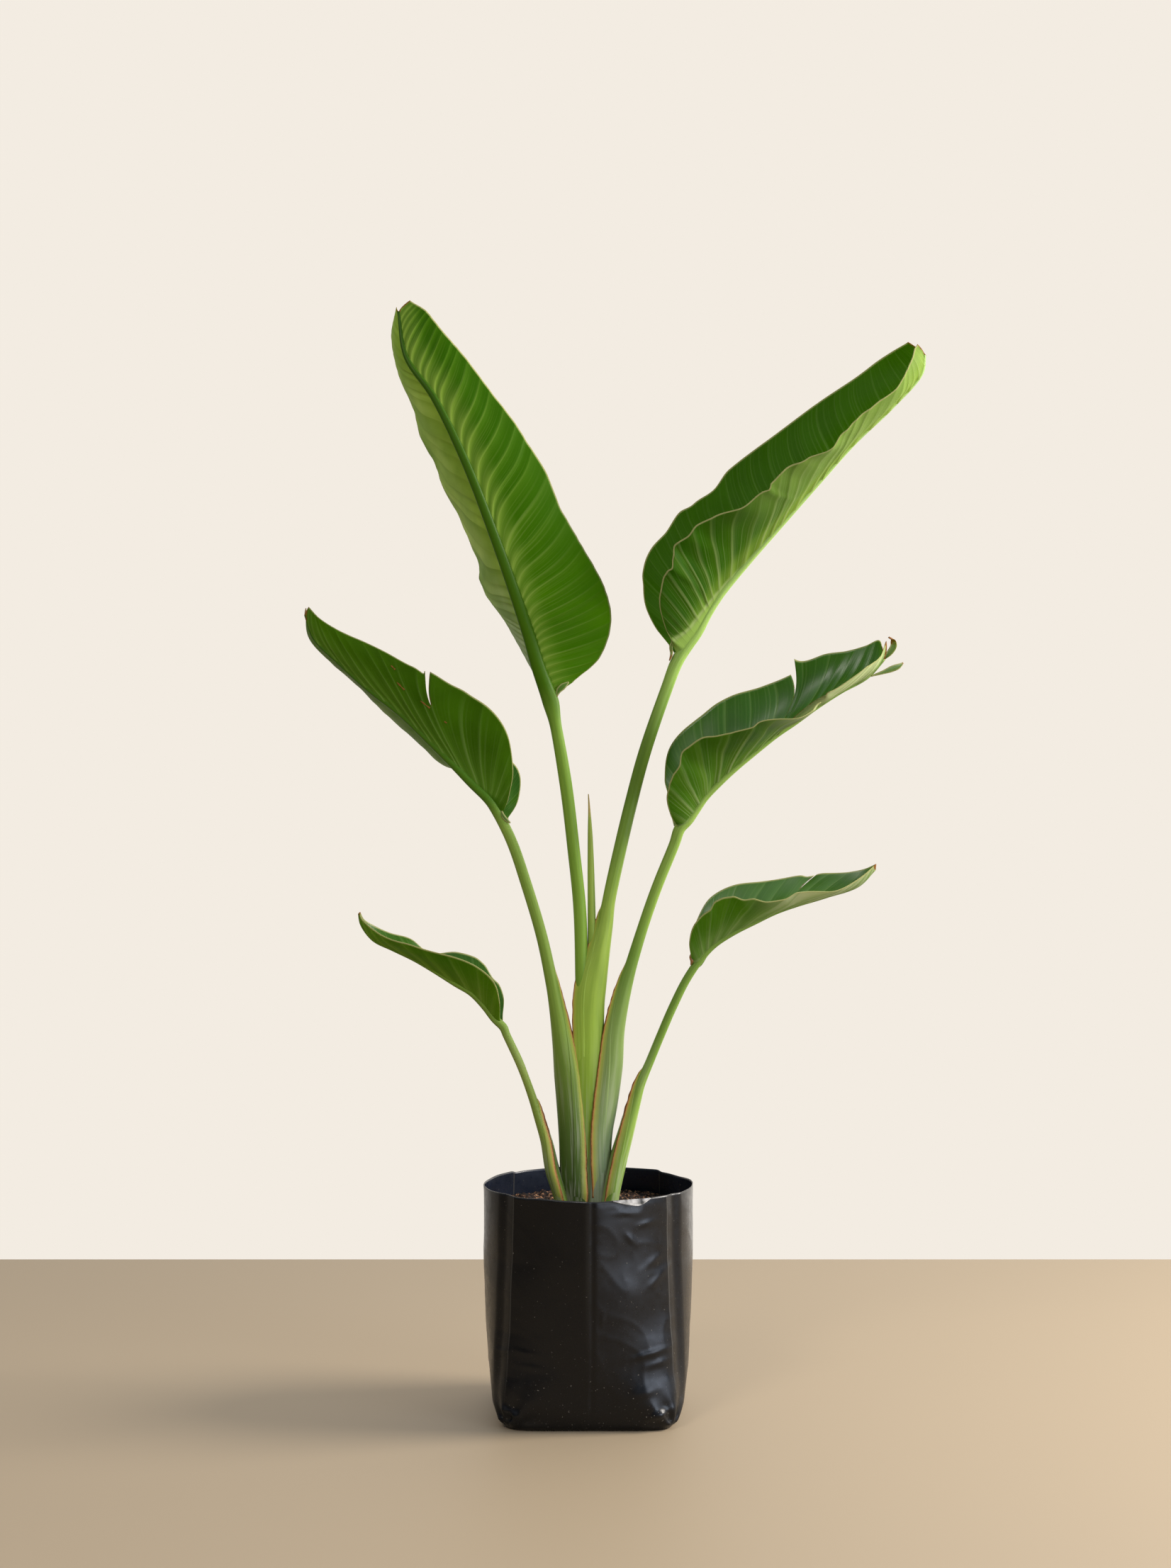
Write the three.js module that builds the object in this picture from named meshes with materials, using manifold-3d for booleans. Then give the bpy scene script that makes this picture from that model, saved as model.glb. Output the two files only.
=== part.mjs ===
// Potted bird of paradise: a young strelitzia with six open leaves and one rolled spear
// leaf, rooted in potting mix in a black polythene nursery bag. Sizes are in millimetres.
// The origin is on the floor under the middle of the bag: +X to the right, +Y to the back,
// +Z up. The leaves stand in a fan across X, as they do on the real plant.
import * as THREE from "three";
import { mergeVertices } from "three/addons/utils/BufferGeometryUtils.js";
import Module from "manifold-3d";

const wasm = await Module();
wasm.setup();

// Driving dimensions
const CLEARANCE = 0.3; // gap between neighbouring pieces
const BAG_HEIGHT = 267;
const BAG_RADIUS = 125; // the open mouth is round
const BAG_WALL = 1;
const BAG_SIDES = 40;
const SOIL_HEIGHT = 237; // at the wall of the bag
const SOIL_MOUND = 5; // how much higher the mix lies round the stems
const SOIL_BUMP = 2.4; // depth of the loose surface
const SOIL_RINGS = [0.86, 0.7, 0.52, 0.34, 0.16]; // rings of its mesh, as shares of the radius
const SOIL_SEED = 11;
const CROWN_TOP = 180; // where the leaf stalks meet the rootstock
const BLADE_THICKNESS = 1;
const BLADE_BULGE = 0.1; // arch of each half, as a share of its width
const BLADE_COLUMNS = 5; // mesh columns in each half of a blade
const ROW_STEPS = 2; // mesh rows of a blade from one control row to the next
const STALK_STEPS = 1; // rings from one knot of a stalk, midrib or root to the next
const VEIN_SWEEP = 0.5; // how far a vein runs forward before it turns out, in rows
const STALK_SIDES = 12;
const RIB_TIP_RADIUS = 1.2;
const RIB_TAPER = 0.8; // under 1 keeps a midrib stout until near its tip
const RIB_LIFT = 0.35; // how far the rib stands out below the blade, in its radii
const RIB_LIFT_RUN = 0.1; // share of the blade over which it comes to stand out

// The bag from the floor up: height, half width, half depth, and how square the section
// is, as the power of a superellipse, where 2 is round.
const BAG_PROFILE = [
  [0, 98, 100, 8],
  [6, 105, 105, 6.5],
  [25, 113, 111, 4.6],
  [60, 119, 117, 3.3],
  [110, 122.5, 122, 2.5],
  [190, 124.5, 124.5, 2.1],
  [BAG_HEIGHT, BAG_RADIUS, BAG_RADIUS, 2],
];

// Each leaf, from the youngest to the oldest. A stalk knot is x, y, z, half width and half
// depth of the leaf stalk, from the rootstock up to the blade. A blade row follows one side
// vein: it gives the midrib's point, then where the vein meets the front margin and the
// back margin. A tear opens a half along a row, from a share of the half's width out to
// the margin, and shifts the edge on its tip side.
const LEAVES = [
  {
    name: "leaf_upper_left",
    colour: "#4f7d1f",
    ribRadius: 6.4,
    stalk: [
      [-5, 0, CROWN_TOP, 7.5, 7],
      [-6, 0, 309, 7.5, 7],
      [-8, -1, 495, 7.6, 7],
      [-10, -2, 594, 8, 7.4],
      [-17, -3, 664, 7.9, 7.3],
      [-26, -5, 740, 8, 7.3],
      [-38, -6, 810, 7.4, 7],
    ],
    rows: [
      [[-45, -6, 841], [-37, -3, 846], [-49, -1, 850]],
      [[-49, -8, 856], [-15, 2, 868], [-69, 22, 884]],
      [[-59, -10, 885], [17, 10, 899], [-84, 45, 912]],
      [[-69, -12, 918], [28, 16, 944], [-101, 62, 942]],
      [[-85, -15, 965], [9, 17, 1003], [-120, 72, 971]],
      [[-108, -18, 1029], [-35, 14, 1078], [-151, 66, 1053]],
      [[-145, -18, 1124], [-86, 8, 1172], [-195, 48, 1146]],
      [[-183, -14, 1202], [-144, 4, 1249], [-222, 32, 1220]],
      [[-216, -8, 1251], [-186, 0, 1299], [-237, 20, 1278]],
      [[-226, 0, 1306], [-213, 3, 1320], [-229, 4, 1312]],
    ],
    tears: [],
  },
  {
    name: "leaf_upper_right",
    colour: "#5d8c2c",
    ribRadius: 6.6,
    stalk: [
      [-2, 0, CROWN_TOP, 15, 11],
      [-1, 0, 326, 17, 11.5],
      [0, 0, 432, 18.2, 11.5],
      [2, 0, 495, 18.6, 11],
      [13, 0, 546, 13, 9.5],
      [19, 1, 574, 10.2, 8.8],
      [24, 1, 605, 8.4, 7.8],
      [35, 2, 656, 8.3, 7.6],
      [50, 4, 719, 8.2, 7.6],
      [67, 5, 782, 8, 7.5],
      [93, 7, 857, 7.6, 7.2],
    ],
    rows: [
      [[106, 8, 890], [104, 4, 902], [103, 13, 900]],
      [[115, 9, 908], [90, -21, 930], [78, 33, 937]],
      [[128, 10, 926], [83, -42, 960], [66, 46, 970]],
      [[140, 11, 948], [91, -55, 990], [70, 51, 1013]],
      [[156, 12, 972], [101, -60, 1023], [95, 54, 1050]],
      [[187, 14, 1009], [143, -61, 1053], [125, 54, 1082]],
      [[228, 14, 1055], [201, -60, 1081], [174, 52, 1127]],
      [[272, 12, 1104], [256, -58, 1123], [230, 46, 1168]],
      [[316, 8, 1152], [306, -52, 1163], [282, 38, 1207]],
      [[361, 4, 1194], [354, -40, 1200], [334, 28, 1241]],
      [[396, 0, 1233], [381, -24, 1241], [367, 14, 1262]],
      [[400, -2, 1254], [391, -6, 1266], [381, 1, 1270]],
    ],
    tears: [],
  },
  {
    name: "leaf_mid_right",
    colour: "#456f24",
    ribRadius: 5.8,
    stalk: [
      [6, 0, CROWN_TOP, 14.5, 14],
      [10, 0, 246, 15.5, 14],
      [12, 0, 326, 16.6, 14],
      [17.5, 0, 360, 17, 14],
      [25, 0, 406, 16, 13.5],
      [30.5, 0, 449, 12.8, 12],
      [39, 0, 487, 10.2, 9],
      [51, 1, 529, 7.6, 7],
      [67, 2, 580, 6.8, 6.4],
      [82, 3, 622, 6.8, 6.4],
      [102, 4, 671, 6.8, 6.5],
    ],
    rows: [
      [[109, 4, 690], [105, 0, 692], [102, 9, 693]],
      [[117, 5, 701], [97, -21, 707], [94, 25, 723]],
      [[126, 6, 714], [92, -40, 728], [92, 34, 750]],
      [[137, 7, 729], [98, -53, 751], [98, 37, 785]],
      [[154, 8, 746], [111, -60, 783], [128, 36, 820]],
      [[173, 9, 763], [140, -63, 798], [171, 35, 848]],
      [[198, 10, 783], [177, -64, 805], [209, 34, 861]],
      [[224, 10, 803], [210, -62, 817], [244, 32, 875]],
      [[247, 9, 818], [244, -57, 823], [280, 29, 898]],
      [[271, 7, 835], [272, -45, 838], [311, 23, 903]],
      [[301, 4, 854], [321, -34, 875], [333, 16, 909]],
      [[332, 1, 871], [344, -17, 891], [347, 8, 915]],
      [[352, -2, 892], [354, -6, 913], [350, 1, 906]],
    ],
    tears: [
      { half: "back", row: 7, from: 0.3, shift: [8, 0, 19] },
      { half: "front", row: 9, from: 0.1, shift: [28, 0, 30] },
    ],
  },
  {
    name: "leaf_mid_left",
    colour: "#3f6a1d",
    ribRadius: 5.7,
    stalk: [
      [-9, 0, CROWN_TOP, 17.5, 17],
      [-13, 0, 246, 18.2, 17],
      [-16, 0, 276, 17.7, 17],
      [-18.5, 0, 326, 17.1, 17],
      [-25, 0, 394, 15.8, 16],
      [-32, -1, 444, 11.8, 13],
      [-42, -2, 500, 8, 7.4],
      [-55, -2, 561, 7.2, 6.6],
      [-73, -3, 622, 7, 6.4],
      [-92, -4, 677, 6.8, 6.4],
    ],
    rows: [
      [[-100, -4, 698], [-102, -7, 706], [-96, 2, 699]],
      [[-105, -5, 705], [-94, -13, 728], [-84, 17, 722]],
      [[-111, -6, 717], [-89, -18, 761], [-83, 42, 755]],
      [[-119, -8, 727], [-99, -22, 809], [-98, 58, 774]],
      [[-138, -10, 745], [-141, -25, 849], [-130, 66, 770]],
      [[-159, -12, 766], [-187, -27, 876], [-170, 66, 764]],
      [[-190, -12, 796], [-226, -26, 892], [-207, 64, 794]],
      [[-223, -10, 827], [-264, -22, 911], [-243, 60, 825]],
      [[-262, -8, 857], [-298, -18, 927], [-275, 50, 859]],
      [[-297, -5, 888], [-320, -12, 941], [-310, 37, 889]],
      [[-326, -2, 916], [-329, -6, 950], [-336, 20, 920]],
      [[-337, 0, 944], [-333, -1, 954], [-337, 4, 953]],
    ],
    tears: [{ half: "front", row: 5, from: 0.58, shift: [-6, 1, 1] }],
  },
  {
    name: "leaf_lower_right",
    colour: "#4a7526",
    ribRadius: 4.4,
    stalk: [
      [16, 0, CROWN_TOP, 13, 19],
      [24, 0, 246, 11.8, 19],
      [34.5, 0, 292, 11, 18],
      [44, -1, 326, 9.8, 15],
      [53.5, -2, 360, 8, 10],
      [61, -3, 385, 6.4, 6.8],
      [72, -4, 411, 5.4, 5.4],
      [85.5, -5, 444, 5.3, 5.1],
      [100, -7, 478, 5.3, 5.1],
      [117, -8, 512, 5.1, 5],
    ],
    rows: [
      [[122, -8, 526], [122, -11, 533], [124, -5, 534]],
      [[129, -8, 532], [119, -28, 556], [124, 8, 560]],
      [[137, -8, 543], [125, -42, 579], [131, 14, 582]],
      [[150, -8, 555], [144, -50, 598], [145, 18, 605]],
      [[171, -8, 568], [170, -53, 610], [173, 20, 622]],
      [[198, -8, 581], [200, -54, 606], [208, 18, 627]],
      [[222, -8, 592], [229, -50, 608], [238, 16, 631]],
      [[246, -8, 600], [252, -44, 615], [263, 13, 633]],
      [[284, -8, 611], [291, -34, 617], [304, 7, 637]],
      [[320, -8, 623], [324, -20, 634], [329, 0, 642]],
      [[340, -8, 642], [341, -10, 647], [342, -7, 648]],
    ],
    tears: [{ half: "back", row: 7, from: 0.55, shift: [3, 2, 1] }],
  },
  {
    name: "leaf_lower_left",
    colour: "#47721f",
    ribRadius: 3.9,
    stalk: [
      [-22, 0, CROWN_TOP, 12, 20],
      [-31, 0, 246, 9.7, 19],
      [-43, -1, 284, 8.8, 16],
      [-50, -3, 318, 7.2, 11],
      [-58, -5, 343, 5.8, 7],
      [-65.5, -7, 368, 5.3, 5.4],
      [-75, -8, 395, 5, 5],
      [-82, -9, 413, 5.2, 5],
      [-97, -10, 445, 5, 4.8],
    ],
    rows: [
      [[-101, -10, 454], [-105, -13, 463], [-102, -7, 462]],
      [[-110, -10, 465], [-105, -30, 486], [-101, 5, 488]],
      [[-122, -10, 480], [-111, -40, 510], [-110, 12, 508]],
      [[-138, -10, 496], [-131, -44, 529], [-128, 16, 530]],
      [[-157, -10, 507], [-158, -44, 540], [-157, 18, 540]],
      [[-183, -10, 523], [-185, -42, 546], [-190, 20, 539]],
      [[-206, -10, 536], [-211, -38, 554], [-213, 18, 556]],
      [[-232, -10, 548], [-236, -32, 561], [-238, 12, 564]],
      [[-255, -10, 559], [-256, -24, 573], [-257, 4, 574]],
      [[-269, -10, 577], [-268, -16, 584], [-267, -5, 582]],
      [[-272, -10, 589], [-270, -11, 591], [-271, -8, 591]],
    ],
    tears: [],
  },
];

// The rolled leaf that has yet to open: x, y, z and radius, up to its dried thread of a tip.
const SPEAR = [
  [1, 1, CROWN_TOP, 4.6, 4.6],
  [2, 1, 326, 5, 5],
  [3, 1, 453, 5.1, 5.1],
  [4, 1, 560, 5, 5],
  [3, 1, 639, 4.1, 4.1],
  [2, 1, 684, 2.9, 2.9],
  [1, 1, 712, 1.4, 1.4],
  [0, 1, 731, 0.6, 0.6],
];

// The rootstock under the mix: height, half width and half depth of its section.
const CROWN_MIDDLE = -2;
const CROWN_PROFILE = [
  [116, 7, 7],
  [130, 20, 16],
  [152, 34, 22],
  [172, 42, 25],
  [CROWN_TOP - CLEARANCE, 39, 23],
];
const ROOT_COUNT = 7;
const ROOT_SIDES = 6;
const ROOT_RADIUS = 5.5;
const ROOT_TIP_RADIUS = 2.5;
const ROOT_TURN = 0.4; // where the first root starts, in radians from +X
// One fleshy root: distance from the middle, height, and turn round the plant in radians
const ROOT_PATH = [
  [14, 150, 0],
  [48, 132, 0.1],
  [80, 88, 0.25],
  [84, 40, 0.5],
  [60, 18, 0.8],
];

const UP = new THREE.Vector3(0, 0, 1);
const SAME_POINT = 1e-4; // points this close are one
const SAME_ROW = 1e-6;

const POLYTHENE = new THREE.MeshStandardMaterial({ color: "#141518", roughness: 0.4, metalness: 0 });
const COIR = new THREE.MeshStandardMaterial({ color: "#4a2f22", roughness: 1, metalness: 0 });
const ROOT = new THREE.MeshStandardMaterial({ color: "#b98b58", roughness: 0.9, metalness: 0 });
const SPEAR_GREEN = new THREE.MeshStandardMaterial({ color: "#86a53c", roughness: 0.5, metalness: 0 });

// A geometry from points and triples of point numbers
function geometryOf(points, triangles) {
  const geometry = new THREE.BufferGeometry().setFromPoints(points);
  geometry.setIndex(triangles.flat());
  return geometry;
}

// Skins closed rings of equal count, each running anticlockwise seen from the last ring
function loft(rings) {
  const count = rings[0].length;
  const points = rings.flat();
  const triangles = [];
  for (let ring = 0; ring < rings.length - 1; ring += 1) {
    for (let i = 0; i < count; i += 1) {
      const a = ring * count + i;
      const b = ring * count + ((i + 1) % count);
      triangles.push([a, b, b + count], [a, b + count, a + count]);
    }
  }
  const firstMiddle = points.push(middleOf(rings[0])) - 1;
  const lastMiddle = points.push(middleOf(rings.at(-1))) - 1;
  const lastStart = (rings.length - 1) * count;
  for (let i = 0; i < count; i += 1) {
    const next = (i + 1) % count;
    triangles.push([firstMiddle, next, i], [lastMiddle, lastStart + i, lastStart + next]);
  }
  return geometryOf(points, triangles);
}

function middleOf(points) {
  const sum = new THREE.Vector3();
  points.forEach((point) => sum.add(point));
  return sum.divideScalar(points.length);
}

// Gives an open sheet a thickness: both faces have the same triangles, and a wall closes
// every free edge, those of the tears included.
function thicken(points, triangles, thickness) {
  const normals = points.map(() => new THREE.Vector3());
  const free = new Map();
  for (const [a, b, c] of triangles) {
    const across = points[b].clone().sub(points[a]);
    const normal = across.cross(points[c].clone().sub(points[a]));
    [a, b, c].forEach((corner) => normals[corner].add(normal));
    for (const [from, to] of [[a, b], [b, c], [c, a]]) {
      if (!free.delete(`${to},${from}`)) free.set(`${from},${to}`, [from, to]);
    }
  }
  const offset = (sign) => points.map((point, i) =>
    point.clone().addScaledVector(normals[i].clone().normalize(), (sign * thickness) / 2));
  const count = points.length;
  const closed = [...triangles];
  triangles.forEach(([a, b, c]) => closed.push([c + count, b + count, a + count]));
  for (const [from, to] of free.values()) {
    closed.push([to, from, from + count], [to, from + count, to + count]);
  }
  return geometryOf([...offset(1), ...offset(-1)], closed);
}

// A three.js geometry as a solid that can be joined and cut, and back again
function solidOf(geometry) {
  geometry.deleteAttribute("normal");
  geometry.deleteAttribute("uv");
  const merged = mergeVertices(geometry, SAME_POINT);
  const vertProperties = new Float32Array(merged.attributes.position.array);
  const triVerts = new Uint32Array(merged.index.array);
  return new wasm.Manifold(new wasm.Mesh({ numProp: 3, vertProperties, triVerts }));
}

function geometryFrom(solid) {
  const { vertProperties, triVerts } = solid.getMesh();
  const geometry = new THREE.BufferGeometry();
  geometry.setAttribute("position", new THREE.BufferAttribute(vertProperties, 3));
  geometry.setIndex(new THREE.BufferAttribute(triVerts, 1));
  geometry.computeVertexNormals();
  return geometry;
}

// Cutting can leave slivers loose, so only the largest body is kept
function largestPart(solid) {
  return solid.decompose().reduce((best, part) => (part.volume() > best.volume() ? part : best));
}

function curveThrough(knots) {
  const points = knots.map(([x, y, z]) => new THREE.Vector3(x, y, z));
  return new THREE.CatmullRomCurve3(points, false, "centripetal");
}

// Steps from 0 to 1 along a curve, so many to each stretch between two knots
function stepsAlong(knots, stepsPerKnot) {
  const count = (knots.length - 1) * stepsPerKnot;
  return Array.from({ length: count + 1 }, (_, i) => i / count);
}

// Half width and half depth of a stalk at a share of its knots
function girthAt(knots, share) {
  const place = share * (knots.length - 1);
  const low = Math.min(Math.floor(place), knots.length - 2);
  const blend = place - low;
  return [3, 4].map((i) => THREE.MathUtils.lerp(knots[low][i], knots[low + 1][i], blend));
}

// An oval ring square to a direction, its width across the fan of leaves
function ovalRing(middle, direction, halfWidth, halfDepth, sides) {
  const across = new THREE.Vector3(0, 1, 0).cross(direction).normalize();
  const deep = direction.clone().cross(across).normalize();
  return Array.from({ length: sides }, (_, i) => {
    const angle = (i / sides) * 2 * Math.PI;
    return middle.clone()
      .addScaledVector(across, halfWidth * Math.cos(angle))
      .addScaledVector(deep, halfDepth * Math.sin(angle));
  });
}

// Rings up a stalk, wider all round by grow. The lowest one lies level on the rootstock.
function stalkRings(knots, grow) {
  const curve = curveThrough(knots);
  return stepsAlong(knots, STALK_STEPS).map((share) => {
    const [halfWidth, halfDepth] = girthAt(knots, share);
    const direction = share === 0 ? UP : curve.getTangent(share);
    return ovalRing(curve.getPoint(share), direction, halfWidth + grow, halfDepth + grow, STALK_SIDES);
  });
}

// The room that a stalk takes up, which is cut out of what wraps round it: it runs on a
// little below the rootstock's top, so that the cut goes right through.
function stalkRoom(knots) {
  const rings = stalkRings(knots, CLEARANCE);
  const foot = rings[0].map((point) => point.clone().setZ(CROWN_TOP - 2 * CLEARANCE));
  return solidOf(loft([foot, ...rings]));
}

// The rails of a blade: its midrib and its two margins, read at the same share
function railsOf(leaf) {
  return {
    rib: curveThrough(leaf.rows.map((row) => row[0])),
    front: curveThrough(leaf.rows.map((row) => row[1])),
    back: curveThrough(leaf.rows.map((row) => row[2])),
  };
}

// Which way the underside faces at the midrib: away from where the two halves lean
function undersideAt(rails, share) {
  const rib = rails.rib.getPoint(share);
  const lean = rails.front.getPoint(share).add(rails.back.getPoint(share)).multiplyScalar(0.5);
  const along = rails.rib.getTangent(share);
  const down = rib.clone().sub(lean);
  return down.addScaledVector(along, -down.dot(along)).normalize();
}

// A point of the blade: share runs from its base to its tip, out from the midrib, 0, to
// the front margin, 1, or the back one, -1.
function bladePoint(rails, rowCount, share, out) {
  const width = Math.abs(out);
  const arch = 4 * width * (1 - width);
  const sweep = (VEIN_SWEEP / rowCount) * arch * 4 * share * (1 - share);
  const root = rails.rib.getPoint(Math.min(1, share + sweep));
  const margin = (out > 0 ? rails.front : rails.back).getPoint(share);
  const span = margin.distanceTo(root);
  return root.lerp(margin, width)
    .addScaledVector(undersideAt(rails, share), BLADE_BULGE * span * arch);
}

// How far a tear moves a point on its tip side: most at the torn edge, nothing at the
// tear's end and one row on.
function tearShift(tear, row, width) {
  const near = Math.max(0, 1 - (row - tear.row));
  const opened = Math.max(0, (width - tear.from) / (1 - tear.from));
  return new THREE.Vector3(...tear.shift).multiplyScalar(near * near * opened);
}

// The blade as a sheet of rows and columns, with a second set of points on the tip side
// of each tear.
function bladeSheet(leaf) {
  const rails = railsOf(leaf);
  const outs = Array.from({ length: 2 * BLADE_COLUMNS + 1 }, (_, i) => i / BLADE_COLUMNS - 1);
  const points = [];
  const addPoint = (share, out, tipSide) => {
    const point = bladePoint(rails, leaf.rows.length, share, out);
    const row = share * (leaf.rows.length - 1);
    for (const tear of leaf.tears) {
      const onHalf = tear.half === (out > 0 ? "front" : "back");
      const beyond = row > tear.row + SAME_ROW || (tipSide && Math.abs(row - tear.row) < SAME_ROW);
      if (onHalf && beyond) point.add(tearShift(tear, row, Math.abs(out)));
    }
    return points.push(point) - 1;
  };
  const rows = stepsAlong(leaf.rows, ROW_STEPS).map((share) => {
    const below = outs.map((out) => addPoint(share, out, false));
    const row = share * (leaf.rows.length - 1);
    const above = outs.map((out, i) => {
      const torn = leaf.tears.some((tear) => tear.half === (out > 0 ? "front" : "back")
        && Math.abs(row - tear.row) < SAME_ROW && Math.abs(out) > tear.from);
      return torn ? addPoint(share, out, true) : below[i];
    });
    return { below, above };
  });
  const triangles = [];
  for (let row = 0; row < rows.length - 1; row += 1) {
    const near = rows[row].above;
    const far = rows[row + 1].below;
    for (let i = 0; i < outs.length - 1; i += 1) {
      triangles.push([near[i], near[i + 1], far[i + 1]], [near[i], far[i + 1], far[i]]);
    }
  }
  return { points, triangles };
}

// The midrib: a tapering rod along the blade that carries on from the stalk
function ribRings(leaf) {
  const rails = railsOf(leaf);
  const shares = stepsAlong(leaf.rows, STALK_STEPS).slice(0, -1);
  return shares.map((share) => {
    const radius = leaf.ribRadius * (1 - share) ** RIB_TAPER + RIB_TIP_RADIUS;
    const lift = RIB_LIFT * radius * Math.min(1, share / RIB_LIFT_RUN);
    const middle = rails.rib.getPoint(share).addScaledVector(undersideAt(rails, share), lift);
    return ovalRing(middle, rails.rib.getTangent(share), radius, radius, STALK_SIDES);
  });
}

// One whole leaf: its stalk, cut clear of the younger ones that it wraps round, then its
// midrib and blade in the same piece.
function leafSolid(leaf, innerRooms) {
  const stem = solidOf(loft([...stalkRings(leaf.stalk, 0), ...ribRings(leaf)]));
  const sheath = innerRooms.reduce((rest, room) => rest.subtract(room), stem);
  const { points, triangles } = bladeSheet(leaf);
  const blade = solidOf(thicken(points, triangles, BLADE_THICKNESS));
  return largestPart(largestPart(sheath).add(blade));
}

// One closed section of the bag, smaller all round by inset
function bagRing([z, halfWidth, halfDepth, power], inset, height = z) {
  return Array.from({ length: BAG_SIDES }, (_, i) => {
    const angle = (i / BAG_SIDES) * 2 * Math.PI;
    const x = Math.abs(Math.cos(angle)) / (halfWidth - inset);
    const y = Math.abs(Math.sin(angle)) / (halfDepth - inset);
    const radius = (x ** power + y ** power) ** (-1 / power);
    return new THREE.Vector3(radius * Math.cos(angle), radius * Math.sin(angle), height);
  });
}

// The bag's section at a height between two rows of its profile
function bagRowAt(height) {
  const top = BAG_PROFILE.findIndex(([z]) => z >= height);
  const [low, high] = [BAG_PROFILE[top - 1], BAG_PROFILE[top]];
  const blend = (height - low[0]) / (high[0] - low[0]);
  return low.map((value, i) => THREE.MathUtils.lerp(value, high[i], blend));
}

function bagSolid() {
  const outside = solidOf(loft(BAG_PROFILE.map((row) => bagRing(row, 0))));
  const [floor, ...walls] = BAG_PROFILE;
  const mouth = bagRing(BAG_PROFILE.at(-1), BAG_WALL, BAG_HEIGHT + BAG_WALL);
  const inside = [bagRing(floor, BAG_WALL, BAG_WALL), ...walls.map((row) => bagRing(row, BAG_WALL)), mouth];
  return outside.subtract(solidOf(loft(inside)));
}

// A repeatable random number from 0 to 1 for each call
function seededRandom(seed) {
  let state = seed;
  return () => {
    state = (state * 1664525 + 1013904223) % 4294967296;
    return state / 4294967296;
  };
}

// The potting mix fills the bag and has an uneven top, highest round the stems
function soilSolid(rooms) {
  const inset = BAG_WALL + CLEARANCE;
  const walls = BAG_PROFILE.slice(1).filter(([z]) => z < SOIL_HEIGHT);
  const rim = bagRowAt(SOIL_HEIGHT);
  const random = seededRandom(SOIL_SEED);
  const top = SOIL_RINGS.map((reach) => bagRing(rim, inset).map((point) => {
    const bump = SOIL_BUMP * (2 * random() - 1);
    return new THREE.Vector3(point.x * reach, point.y * reach, point.z + SOIL_MOUND * (1 - reach) + bump);
  }));
  const rings = [
    bagRing(BAG_PROFILE[0], inset, inset),
    ...walls.map((row) => bagRing(row, inset)),
    bagRing(rim, inset),
    ...top,
  ];
  return largestPart(rooms.reduce((rest, room) => rest.subtract(room), solidOf(loft(rings))));
}

// The rootstock and its fleshy roots, wider all round by grow
function crownSolid(grow) {
  const lump = CROWN_PROFILE.map(([z, halfWidth, halfDepth]) =>
    ovalRing(new THREE.Vector3(CROWN_MIDDLE, 0, z), UP, halfWidth + grow, halfDepth + grow, STALK_SIDES));
  lump[0].forEach((point) => point.setZ(point.z - grow));
  lump.at(-1).forEach((point) => point.setZ(point.z + grow));
  let crown = solidOf(loft(lump));
  for (let root = 0; root < ROOT_COUNT; root += 1) {
    const start = (root / ROOT_COUNT) * 2 * Math.PI + ROOT_TURN;
    const knots = ROOT_PATH.map(([reach, z, turn]) =>
      [reach * Math.cos(start + turn), reach * Math.sin(start + turn), z]);
    const curve = curveThrough(knots);
    const rings = stepsAlong(knots, STALK_STEPS).map((share) => {
      const radius = THREE.MathUtils.lerp(ROOT_RADIUS, ROOT_TIP_RADIUS, share) + grow;
      return ovalRing(curve.getPoint(share), curve.getTangent(share), radius, radius, ROOT_SIDES);
    });
    crown = crown.add(solidOf(loft(rings)));
  }
  return crown;
}

function meshOf(name, solid, material) {
  const mesh = new THREE.Mesh(geometryFrom(solid), material);
  mesh.name = name;
  return mesh;
}

const plant = new THREE.Group();
const spearRoom = stalkRoom(SPEAR);
plant.add(meshOf("spear_leaf", solidOf(loft(stalkRings(SPEAR, 0))), SPEAR_GREEN));

const rooms = [spearRoom];
for (const leaf of LEAVES) {
  const material = new THREE.MeshStandardMaterial({ color: leaf.colour, roughness: 0.45, metalness: 0 });
  plant.add(meshOf(leaf.name, leafSolid(leaf, rooms), material));
  rooms.push(stalkRoom(leaf.stalk));
}
plant.add(meshOf("root_crown", crownSolid(0), ROOT));

const pot = new THREE.Group();
pot.add(meshOf("potting_mix", soilSolid([...rooms, crownSolid(CLEARANCE)]), COIR));
pot.add(meshOf("grow_bag", bagSolid(), POLYTHENE));

const part = new THREE.Group();
part.add(plant, pot);

export default part;
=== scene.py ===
"""Potted bird of paradise: a young strelitzia in a black polythene nursery bag.

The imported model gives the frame. Finer leaves, stalks, sheaths, bag and potting mix take the
place of its plain solids. Sizes are in millimetres until a piece is finished, then in metres.
+X is right, +Y is to the back, +Z is up, and the origin is on the floor under the bag.
"""
import functools
import math
import random

import bmesh
import bpy
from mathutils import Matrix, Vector, noise


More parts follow.
